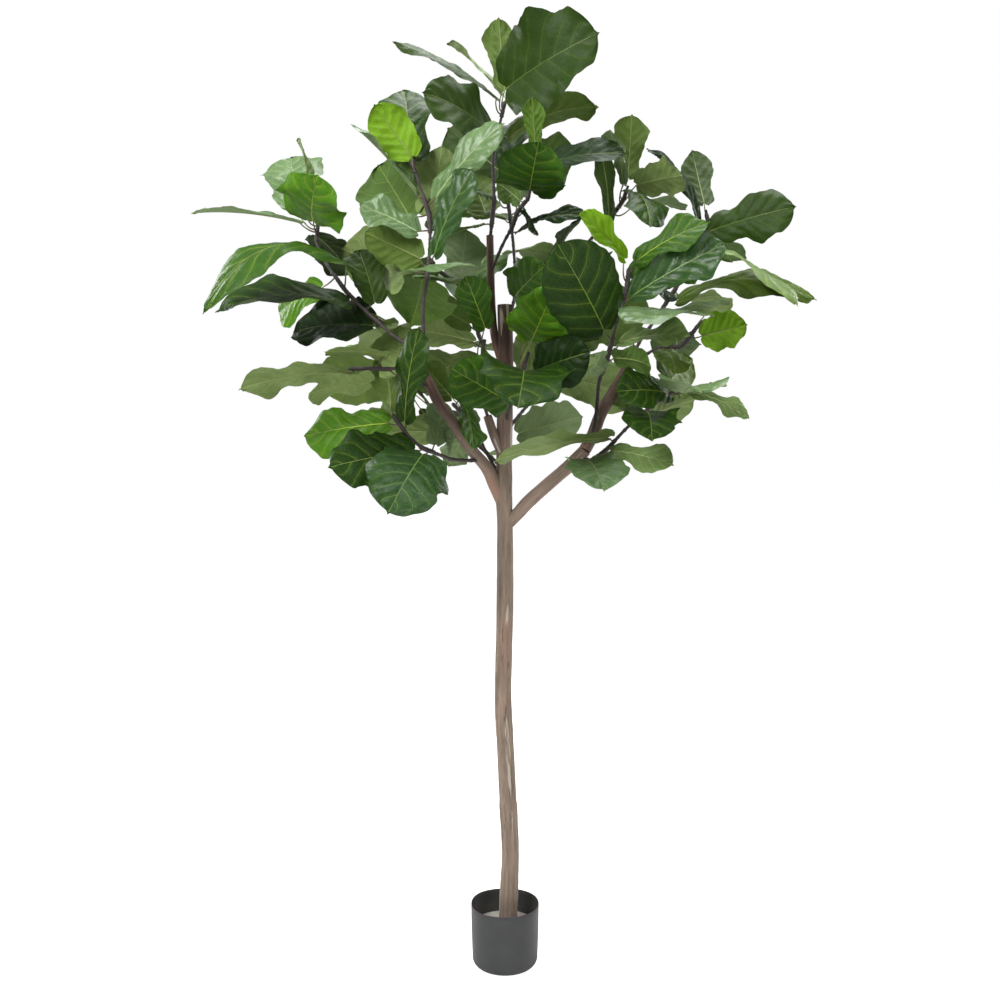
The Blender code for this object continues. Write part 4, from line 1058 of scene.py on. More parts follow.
def blade_tree():
    """Fiddle-shaped blades, one for each point, bent and puffed between their veins."""
    tree, given, made = new_tree("Leaf blades", "GeometryNodeTree", {
        "Geometry": ("NodeSocketGeometry", None),
        "Columns": ("NodeSocketInt", 21),
        "Rows": ("NodeSocketInt", 49),
        "Thickness": ("NodeSocketFloat", 0.001),
        "Fold": ("NodeSocketFloat", 0.16),
        "Puff": ("NodeSocketFloat", 0.0045),
        "Crumple": ("NodeSocketFloat", 0.011),
        "Lobe": ("NodeSocketFloat", 0.05),
        "Sag": ("NodeSocketFloat", 0.09),
        "Point": ("NodeSocketFloat", 0.035),
        "Upper finish": ("NodeSocketMaterial", None),
        "Glossy finish": ("NodeSocketMaterial", None),
        "Underside finish": ("NodeSocketMaterial", None),
    }, {"Geometry": "NodeSocketGeometry"})

    def value(name):
        return field_of(tree, given, name)

    grid = add(tree, "GeometryNodeMeshGrid", {
        "Size X": 2.0, "Size Y": 1.0, "Vertices X": value("Columns"), "Vertices Y": value("Rows")})
    x, y = Field(tree, add(tree, "GeometryNodeInputPosition")).parts()[:2]
    evenly = y + 0.5
    eased = 0.5 - (evenly * math.pi).cos() * 0.5
    across = x.sign() * (abs(x) ** COLUMN_POWER)
    grid = stored(tree, grid, "across", across)
    grid = stored(tree, grid, "along", evenly * (1 - ROW_EASE) + eased * ROW_EASE)
    blades = add(tree, "GeometryNodeInstanceOnPoints", {
        "Points": given.outputs["Geometry"], "Instance": grid})
    blades = add(tree, "GeometryNodeRealizeInstances", (blades,))

    across, along = attribute(tree, "across"), attribute(tree, "along")
    base, heading, side, face = [
        attribute(tree, name, "FLOAT_VECTOR") for name in ("base", "heading", "side", "face")]
    length, width, bow, seed, ruffle, twist, cup = [
        attribute(tree, name) for name in ("length", "width", "bow", "seed", "ruffle", "twist", "cup")]
    reach = abs(across)
    waisted, rounded = [outline_of(tree, along, column) for column in (1, 2)]
    outline = waisted + (rounded - waisted) * attribute(tree, "roundness")
    lobes = margin_wave(across, along, seed, LOBE_WAVES) * attribute(tree, "scallop")
    notches = margin_wave(across, along, seed, NOTCH_WAVES) * NOTCH_DEPTH
    half = width * 0.5 * outline * (1 + (lobes + notches))

    rise = bow * length * 4 * along * (1 - along)
    slope = bow * 4 * (1 - along * 2)
    middle = base + heading * (length * BLADE_REACH * along) + face * rise
    tangent = (heading + face * slope).normalized()
    up = side.cross(tangent).normalized()
    turn = twist * along
    across_way = side * turn.cos() + up * turn.sin()
    up_way = up * turn.cos() - side * turn.sin()

    phase = vein_phase(across, along, seed)
    between_veins = abs((phase * math.pi).sin()) ** PUFF_POWER
    puffed = reach.ramp(0.0, 0.25) * reach.ramp(1.0, 0.75, 0.15, 1.0)
    puff = (between_veins - 0.5) * value("Puff") * puffed
    margin = margin_wave(across, along, seed, RUFFLE_WAVES) * ruffle * half * (reach ** 3)
    patch = combined(tree, across, along * 2.2, seed * 30)
    sag = noise(tree, patch, 1.3, 1.0) * value("Sag") * length * (reach ** SAG_POWER)
    own_place = combined(tree, across * half, along * length, seed * 5)
    crumple = noise(tree, own_place, 27.0, 2.0, 0.6) * value("Crumple") * reach.ramp(0.0, 0.4)
    height = value("Fold") * half * reach + cup * half * reach * reach + puff + margin + sag + crumple
    lobe = ((reach * (0.75 * math.pi)).sin()) * ((1 - along) ** LOBE_POWER) * value("Lobe") * length
    point = (1 - reach * 1.4).clamped() * (along ** POINT_POWER) * value("Point") * length
    place = middle + across_way * (across * half) + up_way * height + tangent * (point - lobe)

    thin = ((1 - reach) * 6).clamped() * (along * 30).clamped() * ((1 - along) * 30).clamped()
    offset = up_way * (thin * value("Thickness") * 0.5)
    blades = stored(tree, blades, "leaf share", combined(tree, across, along, seed), "FLOAT_VECTOR")
    blades = stored(tree, blades, "leaf place", own_place, "FLOAT_VECTOR")
    top = add(tree, "GeometryNodeSetPosition", {"Geometry": blades, "Position": place + offset})
    top = add(tree, "GeometryNodeSetMaterial", {"Geometry": top, "Material": value("Upper finish")})
    glossy = attribute(tree, "gloss").math("GREATER_THAN", GLOSSY_FROM)
    top = add(tree, "GeometryNodeSetMaterial", {
        "Geometry": top, "Selection": glossy, "Material": value("Glossy finish")})
    under = add(tree, "GeometryNodeSetPosition", {"Geometry": blades, "Position": place - offset})
    under = add(tree, "GeometryNodeFlipFaces", (under,))
    under = add(tree, "GeometryNodeSetMaterial", {"Geometry": under, "Material": value("Underside finish")})
    both = add_node(tree, "GeometryNodeJoinGeometry")
    join(tree, under, both.inputs[0])
    join(tree, top, both.inputs[0])
    closed = add(tree, "GeometryNodeMergeByDistance", {"Geometry": both.outputs[0], "Distance": 1e-5})
    closed = add(tree, "GeometryNodeSetShadeSmooth", (closed,))
    join(tree, closed, made.inputs[0])
    return tree


def outline_of(tree, along, column):
    """A blade's half width, as a share of its widest, from a column of the outline's table."""
    node = add_node(tree, "ShaderNodeFloatCurve")
    curve = node.mapping.curves[0]
    curve.points[0].location = (BLADE_OUTLINE[0][0], BLADE_OUTLINE[0][column])
    curve.points[-1].location = (BLADE_OUTLINE[-1][0], BLADE_OUTLINE[-1][column])
    for row in BLADE_OUTLINE[1:-1]:
        curve.points.new(row[0], row[column])
    node.mapping.update()
    join(tree, along, node.inputs["Value"])
    return Field(tree, node.outputs[0])


# Materials: shared effects

def shader_group(name, inputs, outputs):
    """A group of shader nodes, as new_tree makes it."""
    return new_tree(name, "ShaderNodeTree", inputs, outputs)


def group_in(tree, group, **values):
    """A shader group placed in a material, with its inputs set."""
    node = add_node(tree, "ShaderNodeGroup", node_tree=group)
    for name, value in values.items():
        join(tree, value, node.inputs[name.replace("_", " ")])
    return {socket.name: Field(tree, socket) for socket in node.outputs}


def vector_attribute(tree, name):
    """A named attribute in a material, as a vector."""
    return Field(tree, add_node(tree, "ShaderNodeAttribute", attribute_name=name).outputs["Vector"])


def colour_attribute(tree, name):
    """A named attribute in a material, as a colour."""
    return Field(tree, add_node(tree, "ShaderNodeAttribute", attribute_name=name).outputs["Color"])


def leaf_veins_group():
    """Masks of a leaf's midrib, side veins and fine net, from the blade's own attributes."""
    tree, given, made = shader_group("Leaf veins", {
        "Midrib width": ("NodeSocketFloat", 0.0026),
        "Side vein width": ("NodeSocketFloat", 0.04),
    }, {"Midrib": "NodeSocketFloat", "Side veins": "NodeSocketFloat", "Beside veins": "NodeSocketFloat",
        "Net": "NodeSocketFloat", "Margin": "NodeSocketFloat"})
    across, along, seed = vector_attribute(tree, "leaf share").parts()
    place = vector_attribute(tree, "leaf place")
    offset = place.parts()[0]
    reach = abs(across)
    midrib_width = field_of(tree, given, "Midrib width") * (1 - along * 0.7)
    midrib = abs(offset).ramp(midrib_width * 0.45, midrib_width * 0.75, 1.0, 0.0)
    crooked = noise(tree, place, 34.0, 1.0) * 0.16
    phase = vein_phase(across, along, seed) + crooked
    away = abs((phase + 0.5).math("FRACT") - 0.5)
    vein_width = field_of(tree, given, "Side vein width") * (1.1 - reach * 0.75)
    fading = reach.ramp(0.86, 1.0, 1.0, 0.0)
    side = away.ramp(vein_width * 0.4, vein_width, 1.0, 0.0) * fading
    beside = away.ramp(0.02, 0.3, 1.0, 0.0) * fading
    net = add_node(tree, "ShaderNodeTexVoronoi", feature="DISTANCE_TO_EDGE")
    join(tree, place, net.inputs["Vector"])
    join(tree, 95.0, net.inputs["Scale"])
    lines = Field(tree, net.outputs["Distance"]).ramp(0.02, 0.12, 1.0, 0.0)
    margin = reach.ramp(0.955, 1.0)
    for socket, value in zip(made.inputs, (midrib, side, beside, lines, margin)):
        join(tree, value, socket)
    return tree


def mottle_group():
    """Uneven lightness: broad patches with finer ones in them, from 0 to 1 about a half."""
    tree, given, made = shader_group("Mottle", {
        "Vector": ("NodeSocketVector", None),
        "Patch scale": ("NodeSocketFloat", 18.0),
        "Fine scale": ("NodeSocketFloat", 160.0),
        "Fine share": ("NodeSocketFloat", 0.3),
    }, {"Share": "NodeSocketFloat", "Fine": "NodeSocketFloat"})
    place = field_of(tree, given, "Vector")
    broad = noise(tree, place, field_of(tree, given, "Patch scale"), 3.0)
    fine = noise(tree, place, field_of(tree, given, "Fine scale"), 4.0, 0.6)
    share = broad * 1.6 + fine * field_of(tree, given, "Fine share") + 0.5
    join(tree, share.clamped(), made.inputs["Share"])
    join(tree, fine + 0.5, made.inputs["Fine"])
    return tree


def start_material(name, roughness, **settings):
    """A material with its Principled BSDF, and plain values set on the shader's own sockets."""
    material = bpy.data.materials.new(name)
    material.use_nodes = True
    shader = material.node_tree.nodes["Principled BSDF"]
    shader.inputs["Roughness"].default_value = roughness
    for socket, value in settings.items():
        shader.inputs[socket.replace("_", " ")].default_value = value
    return material, material.node_tree, shader


def relief(tree, shader, height, strength, distance):
    """Puts a height in metres, as a share of distance, on the shader's normal."""
    bump = add(tree, "ShaderNodeBump", {"Strength": strength, "Distance": distance, "Height": height})
    join(tree, bump, shader.inputs["Normal"])


def linear(colour):
    """A colour given as a screen shows it, from 0 to 255, as the shares of light that it is."""
    return tuple((share / 255 / 12.92) if share <= 10 else ((share / 255 + 0.055) / 1.055) ** 2.4
                 for share in colour)


def between(tree, share, pair):
    """From a pair's first screen colour to its second as share goes from 0 to 1."""
    return blend(tree, share, linear(pair[0]), linear(pair[1]))


def layered(tree, colour, *layers):
    """A colour with others laid over it in turn, each given as (share, colour)."""
    for share, layer in layers:
        colour = blend(tree, share, colour, layer)
    return colour


def object_place(tree):
    """The place on a piece, in its object's own coordinates."""
    return Field(tree, add_node(tree, "ShaderNodeTexCoord").outputs["Object"])


# Materials: leaves

def leaf_upper_material(name, shine, veins, mottle):
    """The side with the leaf's gloss: light sunken veins, and a blade that is uneven and crumpled, its darker
    patches partly painted shade.
    """
    material, tree, shader = start_material(name, 0.4, Specular_IOR_Level=shine)
    vein = group_in(tree, veins, Midrib_width=0.0025, Side_vein_width=0.016)
    place = vector_attribute(tree, "leaf place")
    patch = group_in(tree, mottle, Vector=place, Patch_scale=16.0, Fine_scale=210.0)
    own = colour_attribute(tree, "upper colour")
    lines = colour_attribute(tree, "vein colour")
    lighter = blend(tree, 0.45, own, lines)
    darker = blend(tree, 1.0, own, UPPER_SHADE, "MULTIPLY")
    # Darker patches: partly the leaf's own uneven colour, partly painted shade of the quilted blade.
    colour = layered(
        tree, blend(tree, patch["Share"], darker, own),
        (vein["Beside veins"] * 0.16, lighter), (vein["Net"] * 0.05, lines),
        (vein["Side veins"] * 0.85, lines), (vein["Midrib"] * 0.88, lines),
        (vein["Margin"] * 0.4, darker))
    join(tree, colour, shader.inputs["Base Color"])
    gloss = Field(tree, add_node(tree, "ShaderNodeAttribute", attribute_name="gloss").outputs["Fac"])
    roughness = 0.58 - gloss * 0.26 + (patch["Fine"] - 0.5) * 0.12 + vein["Side veins"] * 0.06
    join(tree, roughness, shader.inputs["Roughness"])
    sunk = vein["Midrib"] * -0.9 - vein["Side veins"] * 0.6 - vein["Net"] * 0.16
    crumple = noise(tree, place, 42.0, 2.0, 0.6) * 3.0
    relief(tree, shader, sunk + patch["Fine"] * 0.30 + crumple, 0.55, 0.0012)
    return material


def leaf_underside_material(veins, mottle):
    """The matt side: raised pale veins, darker in patches, beside the veins and in their net; the patches and
    the dark beside the veins are partly painted shade.
    """
    material, tree, shader = start_material("leaf_underside", 0.6, Specular_IOR_Level=0.22)
    vein = group_in(tree, veins, Midrib_width=0.0036, Side_vein_width=0.024)
    place = vector_attribute(tree, "leaf place")
    patch = group_in(tree, mottle, Vector=place, Patch_scale=14.0, Fine_scale=260.0)
    own = colour_attribute(tree, "under colour")
    pale = blend(tree, 0.5, own, colour_attribute(tree, "vein colour"))
    darker = blend(tree, 1.0, own, UNDER_SHADE, "MULTIPLY")
    # Darker patches and darker beside the veins: partly the leaf's own colour, partly painted shade of the
    # crumpled blade.
    colour = layered(
        tree, blend(tree, patch["Share"], darker, own),
        (vein["Beside veins"] * 0.3, darker), (vein["Net"] * 0.22, darker),
        (vein["Side veins"] * 0.85, pale), (vein["Midrib"] * 0.9, pale),
        (vein["Margin"] * 0.3, darker))
    join(tree, colour, shader.inputs["Base Color"])
    join(tree, 0.62 + (patch["Fine"] - 0.5) * 0.16, shader.inputs["Roughness"])
    raised = vein["Midrib"] * 0.8 + vein["Side veins"] * 0.8 + vein["Net"] * 0.22
    crumple = noise(tree, place, 38.0, 2.0, 0.6) * 3.6
    relief(tree, shader, raised + patch["Fine"] * 0.35 + crumple, 0.6, 0.0014)
    return material


def leaf_stalk_material(mottle):
    """Woody where a stalk leaves its sleeve, and green further on."""
    material, tree, shader = start_material("leaf_stalk", 0.5)
    grain = vector_attribute(tree, "grain")
    patch = group_in(tree, mottle, Vector=grain, Patch_scale=60.0, Fine_scale=420.0, Fine_share=0.5)
    run = grain.parts()[2] / STALK_STRETCH
    woody = between(tree, patch["Share"], STALK_WOODY)
    green = between(tree, patch["Share"], STALK_GREEN)
    join(tree, blend(tree, run.ramp(0.015, 0.06), woody, green), shader.inputs["Base Color"])
    join(tree, 0.46 + patch["Fine"] * 0.14, shader.inputs["Roughness"])
    relief(tree, shader, patch["Fine"], 0.3, 0.0005)
    return material


# Materials: wood, twigs, pot and filler

def twig_material(mottle):
    """Dark plastic, dusty on its high spots."""
    material, tree, shader = start_material("twig_plastic", 0.55)
    grain = vector_attribute(tree, "grain")
    patch = group_in(tree, mottle, Vector=grain, Patch_scale=70.0, Fine_scale=520.0, Fine_share=0.7)
    dusty = patch["Fine"].ramp(0.62, 0.8)
    colour = layered(tree, between(tree, patch["Share"], TWIG_PLASTIC), (dusty * 0.35, linear(TWIG_DUST)))
    join(tree, colour, shader.inputs["Base Color"])
    join(tree, 0.5 + patch["Fine"] * 0.2, shader.inputs["Roughness"])
    relief(tree, shader, patch["Fine"], 0.5, 0.0009)
    return material


def wood_material(mottle):
    """Grey-brown bark with long fibres, rubbed pale scuffs, pinkish patches and painted shade in its cracks;
    darker up in the crown, partly its own colour and partly painted shade.
    """
    material, tree, shader = start_material("natural_wood", 0.8)
    grain = vector_attribute(tree, "grain")
    streak = group_in(tree, mottle, Vector=grain, Patch_scale=95.0, Fine_scale=430.0, Fine_share=0.8)
    patch = group_in(tree, mottle, Vector=grain, Patch_scale=26.0, Fine_scale=120.0, Fine_share=0.4)
    low = between(tree, streak["Share"], WOOD_LOW)
    high = between(tree, streak["Share"], WOOD_HIGH_PARTLY_SHADED)
    # Darker higher up: partly the bark's own colour, partly painted shade of the canopy.
    level = object_place(tree).parts()[2] + noise(tree, grain, 9.0) * 0.12
    warm = patch["Share"].ramp(0.6, 0.85)
    pinkish = noise(tree, grain, 24.0, 3.0).ramp(0.06, 0.16)
    scuffs = noise(tree, grain, 66.0, 3.0).ramp(0.13, 0.2)
    # Cracks: painted shade in them, and sunk by the relief below.
    cracks = noise(tree, grain, 140.0, 3.0, 0.7).ramp(-0.2, -0.12, 1.0, 0.0)
    colour = layered(
        tree, blend(tree, level.ramp(WOOD_DARKENS_FROM, WOOD_DARK_AT), low, high),
        (warm * 0.35, linear(WOOD_WARM)), (pinkish * 0.5, linear(WOOD_PINK)),
        (scuffs * 0.65, linear(WOOD_SCUFF)), (cracks * 0.6, linear(WOOD_CRACK_SHADE)))
    join(tree, colour, shader.inputs["Base Color"])
    join(tree, 0.7 + streak["Fine"] * 0.25, shader.inputs["Roughness"])
    height = streak["Share"] * 0.8 + streak["Fine"] * 0.5 - cracks * 0.8
    relief(tree, shader, height, 0.8, 0.0018)
    return material


def pot_material(mottle):
    """Thin plastic: a fine orange peel, faint scuffs, and a purplish cast on the trimmed rim."""
    material, tree, shader = start_material("pot_plastic", 0.4)
    place = object_place(tree)
    patch = group_in(tree, mottle, Vector=place, Patch_scale=22.0, Fine_scale=600.0, Fine_share=0.3)
    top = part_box("nursery_pot")[1].z
    rim = place.parts()[2].ramp(top - 0.0014, top - 0.0004)
    scuffs = noise(tree, place, 48.0, 3.0, 0.7).ramp(0.2, 0.27)
    colour = layered(
        tree, between(tree, patch["Share"], POT_PLASTIC),
        (rim * 0.8, linear(POT_RIM)), (scuffs * 0.25, linear(POT_SCUFF)))
    join(tree, colour, shader.inputs["Base Color"])
    join(tree, 0.4 + patch["Share"] * 0.12 + scuffs * 0.15, shader.inputs["Roughness"])
    relief(tree, shader, patch["Fine"] + patch["Share"], 0.25, 0.0006)
    return material


def filler_material(mottle):
    """Pale grey cement with a pinkish tinge in places, and open pores with painted shade in them."""
    material, tree, shader = start_material("filler_cement", 0.9)
    place = object_place(tree)
    patch = group_in(tree, mottle, Vector=place, Patch_scale=38.0, Fine_scale=420.0, Fine_share=0.8)
    pinkish = noise(tree, place, 30.0, 2.0).ramp(0.02, 0.2)
    # Pores: painted shade in them, and sunk by the relief below.
    pores = noise(tree, place, 520.0, 1.0).ramp(-0.3, -0.2, 1.0, 0.0)
    colour = layered(
        tree, between(tree, patch["Share"], FILLER_CEMENT),
        (pinkish * 0.4, linear(FILLER_PINK)), (pores * 0.6, linear(FILLER_PORE_SHADE)))
    join(tree, colour, shader.inputs["Base Color"])
    relief(tree, shader, patch["Share"] + patch["Fine"] * 0.6 - pores * 0.6, 0.8, 0.003)
    return material


def floor_material():
    """Pale, and as white as the backdrop where it is seen, so that no line shows where they meet."""
    material, tree, shader = start_material("floor_pale", 0.95)
    shader.inputs["Base Color"].default_value = (0.85, 0.85, 0.85, 1.0)
    seen = Field(tree, add_node(tree, "ShaderNodeLightPath").outputs["Is Camera Ray"])
    join(tree, blend(tree, seen, (0.0, 0.0, 0.0), (1.0, 1.0, 1.0)), shader.inputs["Emission Color"])
    shader.inputs["Emission Strength"].default_value = FLOOR_GLOW
    return material


# Pieces

def finished(name, mesh, node):
    """A finished piece that stands for a frame node and rides with it."""
    piece = linked(name, mesh)
    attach(piece, "root")
    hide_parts(node)
    return piece


def join_meshes(first, *others):
    """The first mesh with the others added to it, with their own materials and attributes."""
    obs = [linked("part", mesh) for mesh in (first, *others)]
    with bpy.context.temp_override(active_object=obs[0], selected_editable_objects=obs):
        bpy.ops.object.join()
    joined = obs[0].data
    bpy.data.objects.remove(obs[0])
    return joined


def without(mesh, names):
    """The mesh with some of its attributes taken off."""
    for name in names:
        if name in mesh.attributes:
            mesh.attributes.remove(mesh.attributes[name])
    return mesh


def stem_mesh(paths, tree, sizes, seed, finish, edge=SOFT_EDGE):
    """Round stems along paths, each a list of (place, radius), as one plain mesh."""
    mesh = shaped(path_object(paths), tree, {**sizes, "Seed": seed, "Finish": finish})
    mesh.set_sharp_from_angle(angle=math.radians(edge))
    return without(mesh, PATH_MEASURES)


def build_wood(stems, tree, finish):
    for number, name in enumerate(WOOD):
        path = list(zip(stems[name].line, stems[name].radii))
        mesh = stem_mesh([path], tree, WOOD_SIZES, number, finish, CRISP_EDGE)
        finished(f"{name}_wood", mesh, name)


def build_twigs(stems, tree, finish):
    for number, name in enumerate(TWIGS):
        path = list(zip(stems[name].line, stems[name].radii))
        finished(f"{name}_bark", stem_mesh([path], tree, TWIG_SIZES, number, finish), name)


def leaf_points(name, leaves):
    """One point for each leaf of a cluster, holding the measures that shape its blade."""
    chance = random.Random(name)
    mesh = bpy.data.meshes.new("points")
    mesh.from_pydata([leaf.base for leaf in leaves], [], [])
    tones = [TONES[tone] for tone in LEAF_TONES[name].split()]
    numbers = {
        "length": [leaf.length for leaf in leaves],
        "width": [leaf.length * leaf.width_share for leaf in leaves],
        "bow": [leaf.bow for leaf in leaves],
        "roundness": [leaf.roundness for leaf in leaves],
        "gloss": [tone[3] for tone in tones],
    }
    for key, limits in DRAWS.items():
        numbers[key] = [chance.uniform(*limits) for leaf in leaves]
    vectors = {
        "base": [leaf.base for leaf in leaves],
        "heading": [leaf.heading for leaf in leaves],
        "side": [leaf.side for leaf in leaves],
        "face": [leaf.normal for leaf in leaves],
    }
    colours = {
        "upper colour": [tone[0] for tone in tones],
        "under colour": [tone[1] for tone in tones],
        "vein colour": [tone[2] for tone in tones],
    }
    for place, own in OWN_SHAPES.get(name, {}).items():
        for key, value in own.items():
            numbers[key][place - 1] = value

    for key, values in numbers.items():
        mesh.attributes.new(key, "FLOAT", "POINT").data.foreach_set("value", values)
    for key, values in vectors.items():
        flat = [number for value in values for number in value]
        mesh.attributes.new(key, "FLOAT_VECTOR", "POINT").data.foreach_set("vector", flat)
    for key, values in colours.items():
        flat = [number for value in values for number in (*linear(value), 1.0)]
        mesh.attributes.new(key, "FLOAT_COLOR", "POINT").data.foreach_set("color", flat)
    return linked("points", mesh)


def stalk_path(leaf):
    """The stalk from inside the sleeve to the blade, and on under the blade as its midrib."""
    bend = leaf.bend()
    path = []
    for step in range(STALK_STEPS):
        t = step / STALK_STEPS
        place = leaf.root.lerp(bend, t).lerp(bend.lerp(leaf.base, t), t)
        path.append((place, STALK_RADIUS * (1.25 - 0.4 * t)))
    for step in range(MIDRIB_STEPS):
        t = step / MIDRIB_STEPS
        radius = STALK_RADIUS * (0.85 - 0.6 * t)
        path.append((leaf.midrib(t) - leaf.normal * (0.55 * radius), radius))
    return path


def upper_finishes(name, finishes):
    """The finishes of a cluster's plain and glossy leaves: the same one twice if all are alike."""
    glossy = [TONES[tone][3] > GLOSSY_FROM for tone in LEAF_TONES[name].split()]
    if all(glossy):
        return finishes["glossy"], finishes["glossy"]
    return finishes["upper"], finishes["glossy" if any(glossy) else "upper"]


def build_blades(name, leaves, tree, finishes):
    """A cluster's blades, as one plain mesh."""
    plain, glossy = upper_finishes(name, finishes)
    mesh = shaped(leaf_points(name, leaves), tree, {
        "Thickness": BLADE_THICKNESS, "Upper finish": plain, "Glossy finish": glossy,
        "Underside finish": finishes["underside"]})
    mesh.set_sharp_from_angle(angle=math.radians(BLADE_EDGE))
    return without(mesh, BLADE_MEASURES)


def sleeve_path(stem, rows):
    """A cluster's sleeve around its twig, a little narrower at both ends."""
    reached = stalk_distances(stem, rows)
    line = stem.stretch(min(reached) - SLEEVE_END, max(reached) + SLEEVE_END)
    radius = max(stem.radii) + GAP + SLEEVE_WALL
    end = radius * SLEEVE_TAPER
    return list(zip(line, [end] + [radius] * (len(line) - 2) + [end]))


def build_foliage(stems, clusters, trees, finishes):
    """Each cluster as one piece: its blades, their stalks, and the sleeve on the twig."""
    blades, round_stems = trees
    for number, (name, leaves) in enumerate(clusters.items()):
        stem_name, rows = CLUSTERS[name]
        stalks = [stalk_path(leaf) for leaf in leaves]
        sleeve = sleeve_path(stems[stem_name], rows)
        whole = join_meshes(
            build_blades(name, leaves, blades, finishes),
            stem_mesh(stalks, round_stems, STALK_SIZES, number, finishes["stalk"]),
            stem_mesh([sleeve], round_stems, SLEEVE_SIZES, number, finishes["twig"]))
        finished(name.replace("leaves", "foliage"), whole, name)


def ring_mesh(name, rings, steps):
    """A closed surface through rings, from the first one's centre to the last one's.

    A ring is a function of a turn in radians that gives a place. A ring of one place is a pole.
    """
    bm = bmesh.new()
    layers = []
    for ring in rings:
        turns = [math.tau * i / steps for i in range(steps)]
        layers.append([bm.verts.new(ring(turn)) for turn in turns])
    for low, high in zip(layers, layers[1:]):
        for i in range(steps):
            j = (i + 1) % steps
            bm.faces.new((low[i], low[j], high[j], high[i]))
    bmesh.ops.remove_doubles(bm, verts=bm.verts, dist=1e-6)
    bmesh.ops.recalc_face_normals(bm, faces=bm.faces)
    mesh = bpy.data.meshes.new(name)
    bm.to_mesh(mesh)
    bm.free()
    mesh.shade_smooth()
    return mesh


def pot_ring(radius, z, squareness=0.0):
    """A level ring about the pot's axis, a little square at its corners."""
    def place(turn):
        r = radius * (1 - squareness * (1 + math.cos(4 * turn)) / 2)
        return (r * math.cos(turn), r * math.sin(turn), z)
    return place


def build_pot(finish):
    """A thin-walled tapered shell, round at the foot and squarer towards its rolled rim."""
    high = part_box("nursery_pot")[1]
    rim, top = high.x, high.z
    foot = rim * POT_FOOT_SHARE

    def side(z, inset=0.0):
        """The radius at a height, less an inset."""
        return foot + (rim - foot) * z / top - inset

    def square(z):
        """How square the pot is at a height."""
        return POT_SQUARENESS * (z / top) ** 2

    corner = [math.pi / 2 * step / POT_CORNER_STEPS for step in range(POT_CORNER_STEPS + 1)]
    middle = side(POT_CORNER) - POT_CORNER
    outside = [(0.0, 0.0, 0.0), (middle * 0.5, 0.0, 0.0)]
    outside += [(middle + POT_CORNER * math.sin(a), POT_CORNER * (1 - math.cos(a)), 0.0) for a in corner]
    levels = [POT_CORNER + (top - POT_CORNER) * step / POT_SIDE_STEPS for step in range(1, POT_SIDE_STEPS)]
    outside += [(side(z), z, square(z)) for z in levels]
    edge = POT_WALL / 3
    outside += [(side(top) - 0.1 * edge, top - edge, square(top)), (side(top, edge), top, square(top))]
    inside = [(side(top, 2 * edge), top, square(top)), (side(top, POT_WALL), top - edge, square(top))]
    inside += [(side(z, POT_WALL), z, square(z)) for z in reversed(levels)]
    reach = POT_CORNER - POT_WALL
    inside += [
        (middle + reach * math.sin(a), POT_CORNER - reach * math.cos(a), 0.0) for a in reversed(corner)]
    inside += [(middle * 0.5, POT_WALL, 0.0), (0.0, POT_WALL, 0.0)]
    rings = [pot_ring(*ring) for ring in outside + inside]
    mesh = ring_mesh("pot", rings, POT_STEPS)
    mesh.set_sharp_from_angle(angle=math.radians(CRISP_EDGE))
    mesh.materials.append(finish)
    finished("nursery_pot_shell", mesh, "nursery_pot")


def build_filler(stems, finish):
    """An uneven cast plug: higher against the trunk, and sunken in places along the wall."""
    low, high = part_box("filler")
    axis = stems["trunk"].line[0]
    bore = stems["trunk"].radii[0] + GAP
    wall_top = high.x - GAP
    wall_low = min(high.x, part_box("nursery_pot")[1].x * POT_FOOT_SHARE) - POT_WALL
    chance = random.Random("filler")
    swells = [(chance.randint(1, 6), chance.uniform(0, math.tau), chance.uniform(0.3, 1)) for _ in range(5)]

    def ring(share, z, outer, uneven=0.0):
        """A ring at a share of the way from the trunk's bore to the outer wall."""
        def place(turn):
            inner = Vector((axis.x + bore * math.cos(turn), bore * math.sin(turn)))
            rim = Vector((outer * math.cos(turn), outer * math.sin(turn)))
            spot = inner.lerp(rim, share)
            bumps = sum(size * math.sin(count * turn + phase + 5 * share) for count, phase, size in swells)
            return (spot.x, spot.y, z + uneven * (bumps - 1.5))
        return place

    def centre(z):
        """A pole on the trunk's axis."""
        return lambda turn: (axis.x, 0.0, z)

    bottom = axis.z - GAP
    shares = [step / FILLER_STEPS for step in range(FILLER_STEPS + 1)]
    rings = [centre(bottom), ring(0.0, bottom, wall_top)]
    rings += [ring(0.0, bottom + (high.z - bottom) * share, wall_top) for share in (0.3, 0.6, 0.9)]
    level = high.z - FILLER_SINK
    rings += [ring(share, level, wall_top, FILLER_SWELL * math.sin(math.pi * share)) for share in shares]
    widening = wall_top - wall_low
    rings += [ring(1.0, high.z * share, wall_low + widening * share) for share in (0.9, 0.6, 0.35)]
    rings += [ring(0.97, 0.012, wall_low), ring(0.90, 0.006, wall_low), ring(0.80, low.z, wall_low)]
    rings += [ring(0.3, low.z, wall_low), centre(low.z)]
    mesh = ring_mesh("filler", rings, POT_STEPS)
    mesh.set_sharp_from_angle(angle=math.radians(SOFT_EDGE))
    mesh.materials.append(finish)
    finished("filler_plug", mesh, "filler")


# The stage: floor, light and camera

def build_floor(finish):
    mesh = bpy.data.meshes.new("floor")
    mesh.from_pydata([(x, y, -FLOOR_DROP) for x, y in FLOOR_CORNERS], [], [(0, 1, 2, 3)])
    mesh.materials.append(finish)
    linked("floor", mesh)


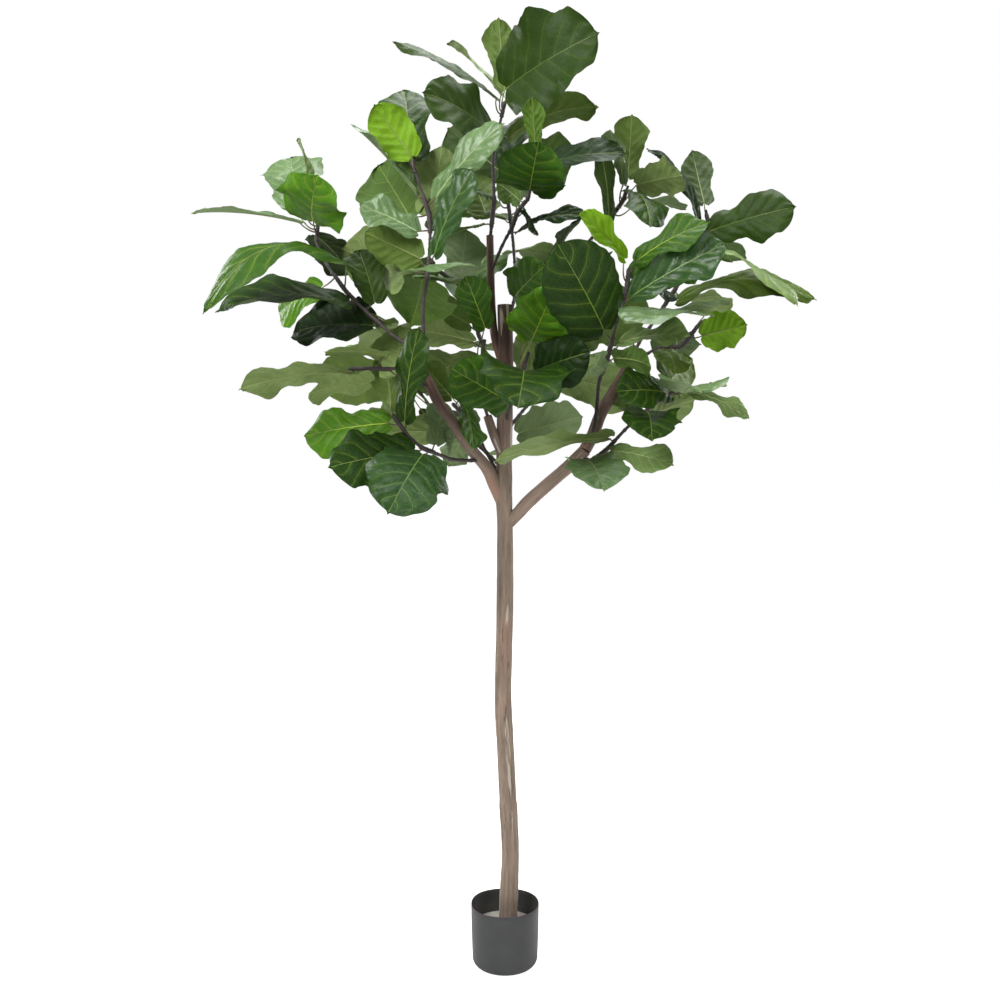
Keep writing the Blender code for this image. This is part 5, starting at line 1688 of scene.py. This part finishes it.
def area_light(name, place, target, size, power):
    """A rectangle of light that faces a target."""
    light = bpy.data.lights.new(name, "AREA")
    light.shape = "RECTANGLE"
    light.size, light.size_y = size
    light.energy = power
    ob = bpy.data.objects.new(name, light)
    ob.location = place
    ob.rotation_euler = (Vector(target) - Vector(place)).to_track_quat("-Z", "Y").to_euler()
    bpy.context.scene.collection.objects.link(ob)


def build_light():
    """A white backdrop, an even fill, a large key from the upper left, and strips behind for edges."""
    scene = bpy.context.scene
    world = bpy.data.worlds.new("studio")
    world.use_nodes = True
    tree = world.node_tree
    backdrop = tree.nodes["Background"]
    backdrop.inputs["Color"].default_value = (1, 1, 1, 1)
    backdrop.inputs["Strength"].default_value = 1.0
    fill = add(tree, "ShaderNodeBackground", {"Color": (1.0, 1.0, 0.98), "Strength": FILL})
    seen = add_node(tree, "ShaderNodeLightPath").outputs["Is Camera Ray"]
    mixed = add(tree, "ShaderNodeMixShader", (seen, fill, backdrop.outputs[0]))
    tree.links.new(mixed, tree.nodes["World Output"].inputs["Surface"])
    scene.world = world
    for name, row in LIGHTS.items():
        area_light(name, *row)


def build_camera():
    camera = bpy.data.cameras.new("camera")
    camera.lens = CAMERA_LENS
    camera.sensor_width = CAMERA_SENSOR
    camera.shift_x, camera.shift_y = CAMERA_SHIFT
    ob = bpy.data.objects.new("camera", camera)
    ob.location = CAMERA_PLACE
    ob.rotation_euler = (math.pi / 2, 0.0, 0.0)
    bpy.context.scene.collection.objects.link(ob)
    bpy.context.scene.camera = ob


def build():
    stems = {name: Stem(row) for name, row in {**WOOD, **TWIGS}.items()}
    veins, mottle = leaf_veins_group(), mottle_group()
    finishes = {
        "upper": leaf_upper_material("leaf_upper", PLAIN_SHINE, veins, mottle),
        "glossy": leaf_upper_material("leaf_upper_glossy", GLOSSY_SHINE, veins, mottle),
        "underside": leaf_underside_material(veins, mottle),
        "stalk": leaf_stalk_material(mottle), "twig": twig_material(mottle)}
    round_stems, blades = stem_tree(), blade_tree()
    build_pot(pot_material(mottle))
    build_filler(stems, filler_material(mottle))
    build_wood(stems, round_stems, wood_material(mottle))
    build_twigs(stems, round_stems, finishes["twig"])
    build_foliage(stems, place_leaves(stems), (blades, round_stems), finishes)
    build_floor(floor_material())
    build_light()
    build_camera()
    bpy.context.scene.view_settings.view_transform = "Standard"


build()
